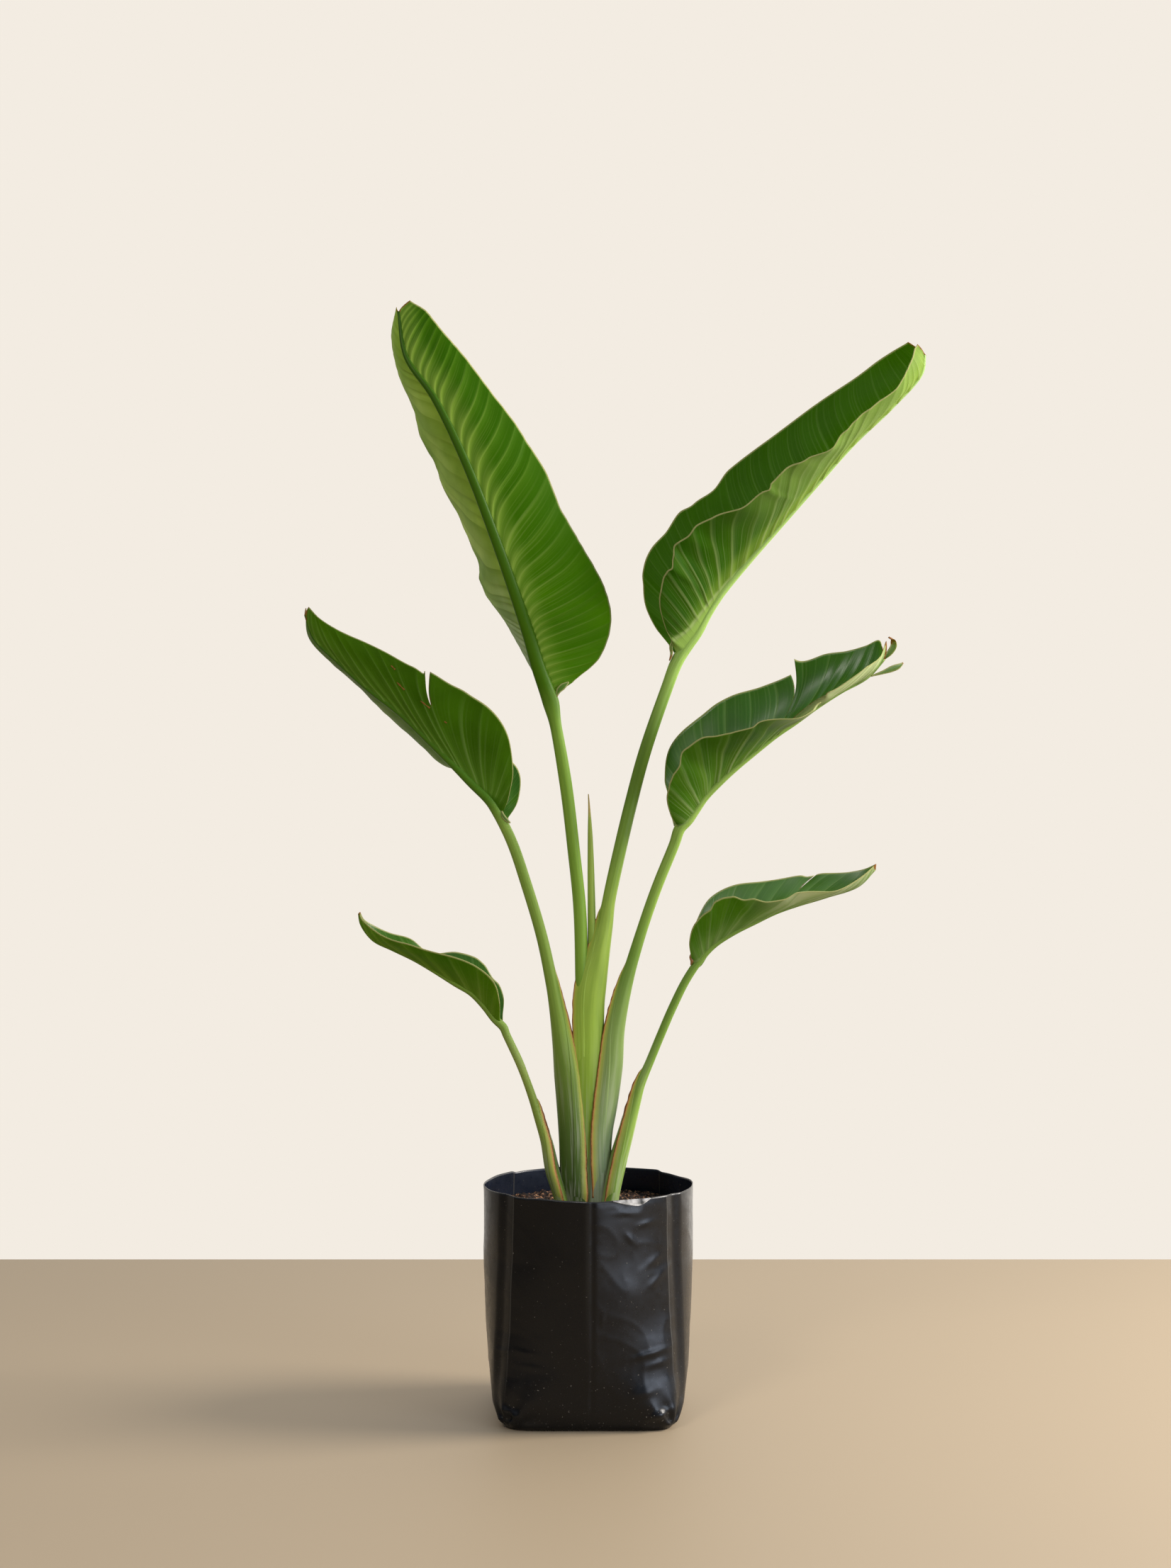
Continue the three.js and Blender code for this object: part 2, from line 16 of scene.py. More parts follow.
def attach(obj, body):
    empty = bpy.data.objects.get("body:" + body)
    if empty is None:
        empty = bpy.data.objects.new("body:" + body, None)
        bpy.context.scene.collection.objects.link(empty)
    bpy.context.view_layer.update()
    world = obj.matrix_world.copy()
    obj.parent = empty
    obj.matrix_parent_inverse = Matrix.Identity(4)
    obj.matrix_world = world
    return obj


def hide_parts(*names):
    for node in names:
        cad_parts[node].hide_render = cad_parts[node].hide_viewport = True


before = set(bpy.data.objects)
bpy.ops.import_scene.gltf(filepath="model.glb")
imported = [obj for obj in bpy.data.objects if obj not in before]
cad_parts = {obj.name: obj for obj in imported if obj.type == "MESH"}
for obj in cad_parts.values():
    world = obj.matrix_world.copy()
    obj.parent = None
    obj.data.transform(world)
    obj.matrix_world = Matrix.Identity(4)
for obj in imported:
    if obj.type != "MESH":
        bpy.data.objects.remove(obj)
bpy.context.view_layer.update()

MM = 0.001

# Camera: a level view from 2.75 m, matched to the photograph
CAMERA_PLACE = (-0.0035, -2.753, 0.743)
CAMERA_LENS = 53.03
CAMERA_SENSOR = 36.0
CAMERA_REACH = 60.0

# Room: a pale wall, a warm floor that ends at the wall's foot, and how strong the light is that comes
# from the wall, from above and from the room
WALL_COLOUR = "#f3ece2"
ROOM_COLOUR = "#cfdff6"
FLOOR_COLOUR = "#99886f"
FLOOR_BACK = 0.859
FLOOR_FRONT = -9.0
FLOOR_HALF_WIDTH = 9.0
FLOOR_DROP = 0.0004
LIGHT_FROM_WALL_LEFT = 0.35
LIGHT_FROM_WALL_RIGHT = 2.1
LIGHT_FROM_ABOVE = 0.75
LIGHT_FROM_ROOM_LEFT = 0.05
LIGHT_FROM_ROOM_RIGHT = 0.8
LIGHT_AIM = (0.0, 0.0, 0.65)
# Each lamp: its place in metres, its width in metres, its power in watts and its colour
LAMPS = {
    "key": ((2.7, 0.05, 1.9), 1.4, 155.0, "#fff8f0"),
    "left_window": ((-1.35, -2.4, 2.6), 1.0, 34.0, "#fff8f0"),
    "right_window": ((1.7, -1.5, 0.6), 1.2, 20.0, "#dce6f8"),
}

# Blades
BLADE_THICKNESS = 0.8
BLADE_BULGE = 0.1
VEIN_SWEEP = 0.5
VEIN_SPREAD = 0.4
VEIN_START = 0.08  # where a side vein leaves the midrib's edge, as a share of the half's width
ROWS_PER_VEIN = 10
HALF_COLUMNS = 32
RIPPLE_LENGTH = 55.0
WAVE_DEPTH = 2.2  # how steeply the margin's waves die away inwards
LEAN_SPREAD = 2.5  # how many side veins beside a tear lean with it
VEIN_FIT_ROUNDS = 20
PLEAT_SPREAD = (0.4, 1.4)  # the lowest and the highest pleat, as multiples of the leaf's own
PLEAT_ROOM = (4, 60)  # pleats grow from nothing to their height between these widths of a half
TEAR_DRYNESS = 0.5
FOOT_DRYNESS = 0.5
FOOT_DRY_RUN = 0.02

# Stalks and midribs
STEM_SIDES = 30
STEM_STEP = 5.0
RIB_TIP_RADIUS = 1.2
RIB_TAPER = 0.8
RIB_LIFT = 0.35
RIB_LIFT_RUN = 0.1
RIB_COVER = 0.95  # how far the blade closes over the midrib's underside, in radii
RIB_COVER_RUN = 2.0
RIB_COVER_START = 0.06
BAND_END = 0.65  # where the smooth band beside the midrib has narrowed to nothing
BAND_TAPER = 1.5
BAND_UNDER_RIB = 0.6  # the part of the band that the midrib itself lies on, in radii
GROOVE_DEPTH = 0.14
GROOVE_WIDTH = 0.42
GROOVE_OPENS = (0.35, 0.6)  # where the channel starts and is full, as shares of the stalk
GROOVE_CLOSES = (1.15, 0.95)  # where it has ended and is still full

CROWN_TOP = 180.0
# In each leaf lengths are in mm, and a share is a share of the way from the blade's foot to its tip.
# - stalk: knots of x, y, z, half width and half depth, from the rootstock up
# - rows: each a point of the midrib, one of the near margin and one of the far margin
# - waves: pairs of a share and how far the margin stands out there
# - rise: how far up the blade a side vein runs, as shares: beside the midrib, over the whole of its
#   half, and in its last turn along the margin
# - vein_gap: from one side vein to the next; pleat: the height of the fold between them
# - ripple: the height of the wide waves
# - band: the width of the smooth green beside the midrib at the blade's foot
# - cover: how far the blade closes over the midrib's underside, from 0 to 1
# - rib_width: the midrib's width as a multiple of its depth
# - neck: the first row that the stalk runs through; groove: the side of its channel, 1 for the right
# - dry_tip: where the browning of the tip starts, and how strong it is
# - tears: the half and the row of each, where it starts as a share of the half's width, how far the
#   veins beside it lean up the blade, and how far its upper lip has moved
LEAVES = {
    "leaf_upper_left": {
        "slot": "leaf_broad", "rib_radius": 6.4, "neck": 0, "groove": 1,
        "stalk": [
            (-5, 0, CROWN_TOP, 7.5, 7), (-6, 0, 309, 7.5, 7), (-8, -1, 495, 7.6, 7),
            (-10, -2, 594, 8, 7.4), (-17, -3, 664, 7.9, 7.3), (-26, -5, 740, 8, 7.3),
            (-38, -6, 810, 7.4, 7),
        ],
        "rows": [
            ((-45, -6, 841), (-37, -3, 846), (-49, -1, 850)),
            ((-49, -8, 856), (-15, 2, 868), (-69, 22, 884)),
            ((-59, -10, 885), (17, 10, 899), (-84, 45, 912)),
            ((-69, -12, 918), (28, 16, 944), (-101, 62, 942)),
            ((-85, -15, 965), (9, 17, 1003), (-120, 72, 971)),
            ((-108, -18, 1029), (-35, 14, 1078), (-151, 66, 1053)),
            ((-145, -18, 1124), (-86, 8, 1172), (-195, 48, 1146)),
            ((-183, -14, 1202), (-144, 4, 1249), (-222, 32, 1220)),
            ((-216, -8, 1251), (-186, 0, 1299), (-237, 20, 1278)),
            ((-226, 0, 1306), (-213, 3, 1320), (-229, 4, 1312)),
        ],
        "waves": {
            "front": [
                (0, 0), (0.03, -7), (0.06, -7), (0.1, 0), (0.15, 2), (0.25, -1), (0.4, 0), (0.48, -2.5),
                (0.54, -1.5), (0.6, 4), (0.65, 0.5), (0.72, -1.5), (0.78, 0), (0.85, -2), (0.93, 1.5),
                (1, 0),
            ],
            "back": [
                (0, 0), (0.06, -2), (0.12, 3), (0.26, 3.5), (0.4, 2), (0.475, 4.5), (0.505, -2),
                (0.55, 0.5), (0.58, -0.5), (0.61, 3), (0.65, -3.5), (0.69, 1.5), (0.74, -3), (0.8, 2),
                (0.88, -1), (1, 0),
            ],
        },
        "rise": {"front": (0.018, 0.034, 0.014), "back": (0.004, 0.012, 0.045)}, "vein_gap": 14,
        "pleat": {"front": 1.0, "back": 1.2}, "ripple": 7, "cover": 0.0, "band": 0,
        "rib_width": 1.3, "dry_tip": (0.985, 0.6),
        "tears": [],
    },
    "leaf_upper_right": {
        "slot": "leaf_light", "rib_radius": 6.6, "neck": 0, "groove": -1,
        "stalk": [
            (-2, 0, CROWN_TOP, 15, 11), (-1, 0, 326, 17, 11.5), (0, 0, 432, 18.2, 11.5),
            (2, 0, 495, 18.6, 11), (13, 0, 546, 13, 9.5), (19, 1, 574, 10.2, 8.8),
            (24, 1, 605, 8.4, 7.8), (35, 2, 656, 8.3, 7.6), (50, 4, 719, 8.2, 7.6),
            (67, 5, 782, 8, 7.5), (93, 7, 857, 7.6, 7.2),
        ],
        "rows": [
            ((106, 8, 890), (104, 4, 902), (103, 13, 900)),
            ((115, 9, 908), (90, -21, 930), (78, 33, 937)),
            ((128, 10, 926), (83, -42, 960), (66, 46, 970)),
            ((140, 11, 948), (91, -55, 990), (70, 51, 1013)),
            ((156, 12, 972), (101, -60, 1023), (95, 54, 1050)),
            ((187, 14, 1009), (143, -61, 1053), (125, 54, 1082)),
            ((228, 14, 1055), (201, -60, 1081), (174, 52, 1127)),
            ((272, 12, 1104), (256, -58, 1123), (230, 46, 1168)),
            ((316, 8, 1152), (306, -52, 1163), (282, 38, 1207)),
            ((361, 4, 1194), (354, -40, 1200), (334, 28, 1241)),
            ((396, 0, 1233), (381, -24, 1241), (367, 14, 1262)),
            ((400, -2, 1254), (391, -6, 1266), (381, 1, 1270)),
        ],
        "waves": {
            "front": [
                (0, 0), (0.025, 3), (0.05, -3), (0.08, 0), (0.2, 0), (0.255, 1.5), (0.275, 0),
                (0.3, -6), (0.33, -4), (0.36, -0.5), (0.395, -4), (0.425, 1.5), (0.46, 0),
                (0.505, -4.5), (0.55, 1.5), (0.56, -1), (0.57, 4), (0.6, 7), (0.635, 0), (0.675, -8.5),
                (0.71, -2.5), (0.76, 2), (0.795, 3), (0.84, -1), (0.92, 1), (0.97, 2), (1, 0),
            ],
            "back": [
                (0, 0), (0.012, 5), (0.03, -4), (0.07, 1), (0.21, -1.5), (0.24, 1), (0.31, 2),
                (0.36, 0), (0.42, 4), (0.46, -1), (0.5, -5.5), (0.54, 0.5), (0.63, 1), (0.78, -0.5),
                (0.86, 1.5), (1, 0),
            ],
        },
        "rise": {"front": (0.015, 0.085, 0.01), "back": (0.004, 0.012, 0.03)}, "vein_gap": 17,
        "pleat": {"front": 1.3, "back": 0.3}, "ripple": 1.5, "cover": 1.0, "band": 24,
        "rib_width": 1.0, "dry_tip": (0.985, 0.8),
        "tears": [],
    },
    "leaf_mid_right": {
        "slot": "leaf_dark", "rib_radius": 5.8, "neck": 0, "groove": -1,
        "stalk": [
            (6, 0, CROWN_TOP, 14.5, 14), (10, 0, 246, 15.5, 14), (12, 0, 326, 16.6, 14),
            (17.5, 0, 360, 17, 14), (25, 0, 406, 16, 13.5), (30.5, 0, 449, 12.8, 12),
            (39, 0, 487, 10.2, 9), (51, 1, 529, 7.6, 7), (67, 2, 580, 6.8, 6.4), (82, 3, 622, 6.8, 6.4),
            (102, 4, 671, 6.8, 6.5),
        ],
        "rows": [
            ((109, 4, 690), (105, 0, 692), (102, 9, 693)),
            ((117, 5, 701), (97, -21, 707), (94, 25, 723)),
            ((126, 6, 714), (92, -40, 728), (92, 34, 750)),
            ((137, 7, 729), (98, -53, 751), (98, 37, 785)),
            ((154, 8, 746), (111, -60, 783), (128, 36, 820)),
            ((173, 9, 763), (140, -63, 798), (171, 35, 848)),
            ((198, 10, 783), (177, -64, 805), (209, 34, 861)),
            ((224, 10, 803), (210, -62, 817), (244, 32, 875)),
            ((247, 9, 818), (244, -57, 823), (280, 29, 898)),
            ((271, 7, 835), (272, -45, 838), (311, 23, 903)),
            ((301, 4, 854), (321, -34, 875), (333, 16, 909)),
            ((332, 1, 871), (344, -17, 891), (347, 8, 915)),
            ((352, -2, 892), (354, -6, 913), (350, 1, 906)),
        ],
        "waves": {
            "front": [
                (0, -1), (0.04, 0.5), (0.2, -0.5), (0.22, 0.5), (0.25, 0), (0.29, -4), (0.325, 0),
                (0.35, -1), (0.4, 2), (0.435, -2), (0.49, 0.5), (0.53, -1), (0.56, 2), (0.6, 0),
                (0.66, -3.5), (0.71, -3.5), (0.745, 1), (0.8, 4), (0.9, 4), (1, 0),
            ],
            "back": [
                (0, 0), (0.1, -2), (0.12, -4), (0.16, 0), (0.22, 0.5), (0.28, 1), (0.35, -1), (0.39, 1),
                (0.5, -0.5), (0.6, 0), (1, 0),
            ],
        },
        "rise": {"front": (0.03, 0.15, 0.0), "back": (0.004, 0.012, 0.02)}, "vein_gap": 19,
        "pleat": {"front": 1.2, "back": 0.5}, "ripple": 5, "cover": 1.0, "band": 7,
        "rib_width": 1.0, "dry_tip": (0.97, 0.8),
        "tears": [
            {"half": "back", "row": 7, "start": 0.3, "lean": 0.05, "shift": (4, 0, 19)},
            {"half": "front", "row": 9, "start": 0.05, "lean": 0.0, "shift": (9, 0, 12)},
        ],
    },
    "leaf_mid_left": {
        "slot": "leaf_deep", "rib_radius": 5.7, "neck": 2, "groove": 1,
        "stalk": [
            (-9, 0, CROWN_TOP, 17.5, 17), (-13, 0, 246, 18.2, 17), (-16, 0, 276, 17.7, 17),
            (-18.5, 0, 326, 17.1, 17), (-25, 0, 394, 15.8, 16), (-32, -1, 444, 11.8, 13),
            (-42, -2, 500, 8, 7.4), (-55, -2, 561, 7.2, 6.6), (-73, -3, 622, 7, 6.4),
            (-92, -4, 677, 6.8, 6.4),
        ],
        "rows": [
            ((-100, -4, 698), (-102, -7, 706), (-96, 2, 699)),
            ((-105, -5, 705), (-94, -13, 728), (-84, 17, 722)),
            ((-111, -6, 717), (-89, -18, 761), (-83, 42, 755)),
            ((-119, -8, 727), (-99, -22, 809), (-98, 58, 774)),
            ((-138, -10, 745), (-141, -25, 849), (-130, 66, 770)),
            ((-159, -12, 766), (-187, -27, 876), (-170, 66, 764)),
            ((-190, -12, 796), (-226, -26, 892), (-207, 64, 794)),
            ((-223, -10, 827), (-264, -22, 911), (-243, 60, 825)),
            ((-262, -8, 857), (-298, -18, 927), (-275, 50, 859)),
            ((-297, -5, 888), (-320, -12, 941), (-310, 37, 889)),
            ((-326, -2, 916), (-329, -6, 950), (-336, 20, 920)),
            ((-337, 0, 944), (-333, -1, 954), (-337, 4, 953)),
        ],
        "waves": {
            "front": [
                (0, 2), (0.045, 2), (0.11, -1.5), (0.17, 0), (0.22, -1), (0.26, 0), (0.32, 2.5),
                (0.37, 0), (0.41, -2.5), (0.455, -0.5), (0.465, -5.5), (0.5, -3), (0.58, 0.5),
                (0.69, -1), (1, 0),
            ],
            "back": [(0, 0), (0.03, -3.5), (0.1, -1), (0.2, 0), (0.24, -1), (0.35, 0), (1, 0)],
        },
        "rise": {"front": (0.02, 0.05, 0.01), "back": (0.004, 0.012, 0.02)}, "vein_gap": 18,
        "pleat": {"front": 0.6, "back": 0.8}, "ripple": 8, "cover": 0.8, "band": 14,
        "rib_width": 1.0, "dry_tip": (0.95, 0.7),
        "tears": [{"half": "front", "row": 5, "start": 0.6, "lean": 0.045, "shift": (-6, 1, 1)}],
    },
    "leaf_lower_right": {
        "slot": "leaf_small_right", "rib_radius": 4.4, "neck": 2, "groove": -1,
        "stalk": [
            (16, 0, CROWN_TOP, 13, 19), (24, 0, 246, 11.8, 19), (34.5, 0, 292, 11, 18),
            (44, -1, 326, 9.8, 15), (53.5, -2, 360, 8, 10), (61, -3, 385, 6.4, 6.8),
            (72, -4, 411, 5.4, 5.4), (85.5, -5, 444, 5.3, 5.1), (100, -7, 478, 5.3, 5.1),
            (117, -8, 512, 5.1, 5),
        ],
        "rows": [
            ((122, -8, 526), (122, -11, 533), (124, -5, 534)),
            ((129, -8, 532), (119, -28, 556), (124, 8, 560)),
            ((137, -8, 543), (125, -42, 579), (131, 14, 582)),
            ((150, -8, 555), (144, -50, 598), (145, 18, 605)),
            ((171, -8, 568), (170, -53, 610), (173, 20, 622)),
            ((198, -8, 581), (200, -54, 606), (208, 18, 627)),
            ((222, -8, 592), (229, -50, 608), (238, 16, 631)),
            ((246, -8, 600), (252, -44, 615), (263, 13, 633)),
            ((284, -8, 611), (291, -34, 617), (304, 7, 637)),
            ((320, -8, 623), (324, -20, 634), (329, 0, 642)),
            ((340, -8, 642), (341, -10, 647), (342, -7, 648)),
        ],
        "waves": {
            "front": [
                (0, 0), (0.03, -1.5), (0.1, 0.5), (0.24, 0), (0.29, -1), (0.32, 4.5), (0.34, 4),
                (0.39, 2), (0.435, -2), (0.48, 2), (0.53, -1), (0.6, 0), (0.66, 3), (0.72, 1),
                (0.85, 0), (1, 1),
            ],
            "back": [
                (0, 0), (0.3, 0.5), (0.42, -1), (0.55, -1), (0.665, 1.5), (0.7, -1), (0.74, 1.5),
                (0.83, -0.5), (1, 0),
            ],
        },
        "rise": {"front": (0.05, 0.13, 0.0), "back": (0.01, 0.07, 0.02)}, "vein_gap": 19,
        "pleat": {"front": 1.0, "back": 0.5}, "ripple": 6, "cover": 1.0, "band": 7,
        "rib_width": 1.0, "dry_tip": (0.965, 0.9),
        "tears": [{"half": "back", "row": 7.2, "start": 0.6, "lean": 0.0, "shift": (3, 2, 1)}],
    },
    "leaf_lower_left": {
        "slot": "leaf_small_left", "rib_radius": 3.9, "neck": 0, "groove": 1,
        "stalk": [
            (-22, 0, CROWN_TOP, 12, 20), (-31, 0, 246, 9.7, 19), (-43, -1, 284, 8.8, 16),
            (-50, -3, 318, 7.2, 11), (-58, -5, 343, 5.8, 7), (-65.5, -7, 368, 5.3, 5.4),
            (-75, -8, 395, 5, 5), (-82, -9, 413, 5.2, 5), (-97, -10, 445, 5, 4.8),
        ],
        "rows": [
            ((-101, -10, 454), (-105, -13, 463), (-102, -7, 462)),
            ((-110, -10, 465), (-105, -30, 486), (-101, 5, 488)),
            ((-122, -10, 480), (-111, -40, 510), (-110, 12, 508)),
            ((-138, -10, 496), (-131, -44, 529), (-128, 16, 530)),
            ((-157, -10, 507), (-158, -44, 540), (-157, 18, 540)),
            ((-183, -10, 523), (-185, -42, 546), (-190, 20, 539)),
            ((-206, -10, 536), (-211, -38, 554), (-213, 18, 556)),
            ((-232, -10, 548), (-236, -32, 561), (-238, 12, 564)),
            ((-255, -10, 559), (-256, -24, 573), (-257, 4, 574)),
            ((-269, -10, 577), (-268, -16, 584), (-267, -5, 582)),
            ((-272, -10, 589), (-270, -11, 591), (-271, -8, 591)),
        ],
        "waves": {
            "front": [(0, 0), (0.03, 1), (0.3, 0), (0.65, 0.5), (0.82, -0.5), (1, -2)],
            "back": [
                (0, 0), (0.037, -2), (0.1, 0), (0.17, 0.5), (0.23, -3), (0.29, -0.5), (0.33, 1),
                (0.53, 1.5), (1, 0),
            ],
        },
        "rise": {"front": (0.03, 0.12, 0.0), "back": (0.004, 0.03, 0.02)}, "vein_gap": 20,
        "pleat": {"front": 0.9, "back": 0.5}, "ripple": 7, "cover": 0.8, "band": 5,
        "rib_width": 1.0, "dry_tip": (0.95, 0.8),
        "tears": [],
    },
}

# Torn and curled bits of blade: their leaf, the way they are wide, their curl, and knots of x, y, z,
# half width and dryness
STRIPS = {
    "upper_left_foot_lobe": ("leaf_upper_left", (-0.68, 0, 0.73), 0.8, [
        (-37.5, -9, 847, 0.6, 0.6), (-35, -10, 854, 3.0, 0), (-30, -10, 859, 3.6, 0),
        (-23.5, -8, 864, 0.8, 0),
    ]),
    "upper_right_foot_rag": ("leaf_upper_right", (1, 0, 0.2), 0.8, [
        (101.5, 4, 915, 0.8, 0.2), (98.5, 2, 907, 2.0, 0.25), (99, 1, 898, 1.6, 0.4),
        (96.5, 1, 890, 0.5, 0.9),
    ]),
    "mid_right_tip_curl": ("leaf_mid_right", (0.8, -0.3, -0.5), 1.8, [
        (352, -2, 893, 2.0, 0), (359, -2, 900, 3.6, 0), (363.5, -1, 908, 3.8, 0.2),
        (362, -1, 914, 3.2, 0.8), (357, -2, 917, 1.6, 0.9),
    ]),
    "mid_right_torn_strip": ("leaf_mid_right", (-0.3, -0.4, 0.87), 0.8, [
        (335, -12, 871, 0.8, 0), (349, -11, 875.5, 2.4, 0), (360, -10, 879.7, 4, 0),
        (368.4, -9, 883, 3.4, 0), (374, -8, 887, 0.8, 0.8),
    ]),
    "mid_left_foot_curl": ("leaf_mid_left", (0.5, 0, 0.85), 1.2, [
        (-103, -9, 711, 1, 0), (-101, -12, 705, 2.2, 0), (-97, -11, 700, 2, 0),
        (-93, -9, 697, 0.8, 0.3),
    ]),
    "lower_right_foot_rag": ("leaf_lower_right", (1, 0.3, 0), 0.8, [
        (123.5, -12, 543, 0.8, 0.5), (121.5, -14, 538, 2, 0.7), (122.5, -14, 533, 1.8, 0.9),
        (121.5, -12, 528.5, 0.6, 0.9),
    ]),
}
# Healed scars on the near half of the mid left leaf: x and z of their two ends
SCARS = [
    (-233, 883, -228, 878), (-226, 863, -217, 854), (-198, 841, -187, 832.5), (-170, 817, -167.5, 815),
]
SCAR_WIDTHS = [(0, 0.3), (0.35, 0.9), (0.6, 0.4), (1, 1.1)]  # half widths by the share of its length
SCAR_LIFT = 0.9  # how far it stands before the middle of the blade
SCAR_DRYNESS = 0.9
STRIP_THICKNESS = 0.4
RIBBON_GRID = (8, 40)
FAR_FROM_RIB = 99

# Sheath margins: the side that the sheath is open to, the foot and the top of the margin, and how far
# round the stalk it lies at its foot, in radians
SHEATH_MARGINS = {
    "leaf_upper_right": (-1, 392, 597, 0.35),
    "leaf_mid_right": (-1, 252, 530, 1.2),
    "leaf_mid_left": (1, 242, 525, 0.85),
    "leaf_lower_right": (-1, 246, 405, 1.1),
    "leaf_lower_left": (1, 246, 370, 1.3),
}
SHEATH_WRAP = 1.0  # how far round the stalk a margin strip reaches, in radians
SHEATH_LIP = 1.5  # how far its free edge curls off the stalk
SHEATH_LIFT = 0.35  # how far the edge stands off as a whole
SHEATH_SINK = 0.15  # how far its inner side is let into the stalk
SHEATH_END_SINK = 1.5  # and its two ends
SHEATH_FRILL = 0.8
SHEATH_FRILL_LENGTH = 9
SHEATH_THICKNESS = 0.5
SHEATH_GRID = (10, 160)
SHEATH_STEPS = 400
# Its yellowed, tan and brown edge: where each tone is strongest and where it ends, in mm from the
# edge, how strong it is, and its colour
SHEATH_EDGE_TONES = [
    (3.5, 10.0, 0.9, "#b4b850"),
    (2.4, 4.4, 1.0, "#cc9458"),
    (1.5, 2.3, 0.9, "#7a4620"),
]

# The rolled young leaf: x, y, z, half width, half depth
SPEAR = [
    (1, 1, CROWN_TOP, 4.6, 4.6),
    (2, 1, 326, 5, 5),
    (3, 1, 453, 5.1, 5.1),
    (4, 1, 560, 5, 5),
    (3, 1, 639, 4.1, 4.1),
    (2, 1, 684, 2.9, 2.9),
    (1, 1, 712, 1.4, 1.4),
    (0, 1, 731, 0.6, 0.6),
]
SPEAR_GRID = (24, 160)
SPEAR_TONES = [
    (180, "#8aa040"), (560, "#90a848"), (700, "#98a84c"), (712, "#b09a5c"), (731, "#a58a55"),
]

# Bag: height, half width, half depth, and how square the section is
BAG_HEIGHT = 267.0
BAG_WALL = 0.8
BAG_PROFILE = [
    (0, 98, 100, 8),
    (6, 105, 105, 6.5),
    (25, 113, 111, 4.6),
    (60, 119, 117, 3.3),
    (110, 122.5, 122, 2.5),
    (190, 124.5, 124.5, 2.1),
    (BAG_HEIGHT, 125, 125, 2),
]
# Where the flat film was creased before it was filled: plan points at the rim, round from the right
BAG_CORNERS = [
    (125.5, 8), (90, 92), (0, 125), (-91, 84), (-125, -6.5), (-85.5, -86), (2, -124), (88, -77),
]
BAG_CREASES = [(-91, 84), (-85.5, -86), (88, -77), (90, 92)]
BAG_RIM_STEPS = [BAG_CREASES[0], BAG_CREASES[3]]  # the rim steps up at the two creases of the back
# How far the section goes from its round form towards the straight-sided one through the corners
BAG_FLATNESS = {"front": 0.55, "round": 0.12}
BAG_FRONT_HALF = (128, 112)  # the front panel ends between these ways from the seam
BAG_SEAM = (3.5, -124)
SEAM_DEPTH = 1.6
SEAM_WIDTH = 3.0
# The pale band beside the seam is a painted sheen
SEAM_SHEEN = 0.2
# Uneven film: the heights of the soft dents, of the ridges between them and of the wide swells
BAG_DENT = 1.4
BAG_RIDGE = 0.4
BAG_SWELL = 1.2
# Pinched corners of the base, as plan points, and the folds that run from them
BAG_EARS = [(-88, -90), (96, -90), (-88, 90), (96, 90)]
EAR_FOLDS = 8
EAR_FOLD_HEIGHT = 2.6
EAR_FOLD_REACH = 42
RIM_RUBBED = 0.3
RIM_WAVE = 1.3
RIM_STEP = 1.2
RIM_STEP_REACH = 40
# Wrinkles on the front: x and z of the middle, half length, half width, slope in degrees, height
BAG_WRINKLES = [
    (42, 252, 14, 2.6, 0, 0.7), (66, 238, 9, 3.0, 10, 1.2), (49, 221, 9, 3.4, -48, 1.3),
    (74, 194, 11, 4.2, 35, 1.1), (78, 172, 12, 4.2, 40, 1.1), (16, 132, 6, 2.6, 80, 0.8),
    (71, 89, 19, 2.8, 12, 1.8), (79, 77, 13, 3.2, 12, 1.2), (65, 46, 16, 6, 15, 1.5),
    (-73, 90, 15, 2.8, -6, 0.6), (-66, 74, 17, 3.2, -5, 0.5), (-101, 87, 10, 4, 10, 0.9),
    (76, 18, 19, 3.8, 18, 3.4), (91, 7, 10, 2.6, 5, 2.0), (-86, 9, 20, 3, -4, 2.6),
    (-90, 21, 14, 3.8, -22, 3.2),
]
BAG_SIDES = 360
BAG_ROWS = 108
FILM_OUTSIDE = "#08090c"
# The inside's lighter bluish tone is dust and a painted sheen
FILM_INSIDE_DUST_AND_SHEEN = "#1c2434"
# The whitened fold on the rim: x, y, z, half width and dryness, which film doesn't have
RIM_FOLD = [
    (28, -120.5, 267.5, 0.4, 0), (43, -118.5, 266, 3.4, 0), (57, -113, 265, 4.6, 0),
    (71, -104, 268, 0.4, 0),
]
RIM_FOLD_LEAN = (0, -0.75, -0.65)
RIM_FOLD_CURL = 0.8
RIM_FOLD_THICKNESS = 0.5

# Potting mix: its top, and how deep its sides go down inside the bag
SOIL_HEIGHT = 238.0
SOIL_SKIRT = 150
SOIL_HEAP = 5
SOIL_GAP = 2.5  # from the film of the bag
SOIL_LEVELS = (SOIL_SKIRT, 170, 190, 210, SOIL_HEIGHT)  # where the bag's room for it is measured
SOIL_GRID = (300, 90)
# Lumps and crumbs: their height and their length
SOIL_LUMPS = (3.5, 16)
SOIL_CRUMBS = (4.2, 4.5)

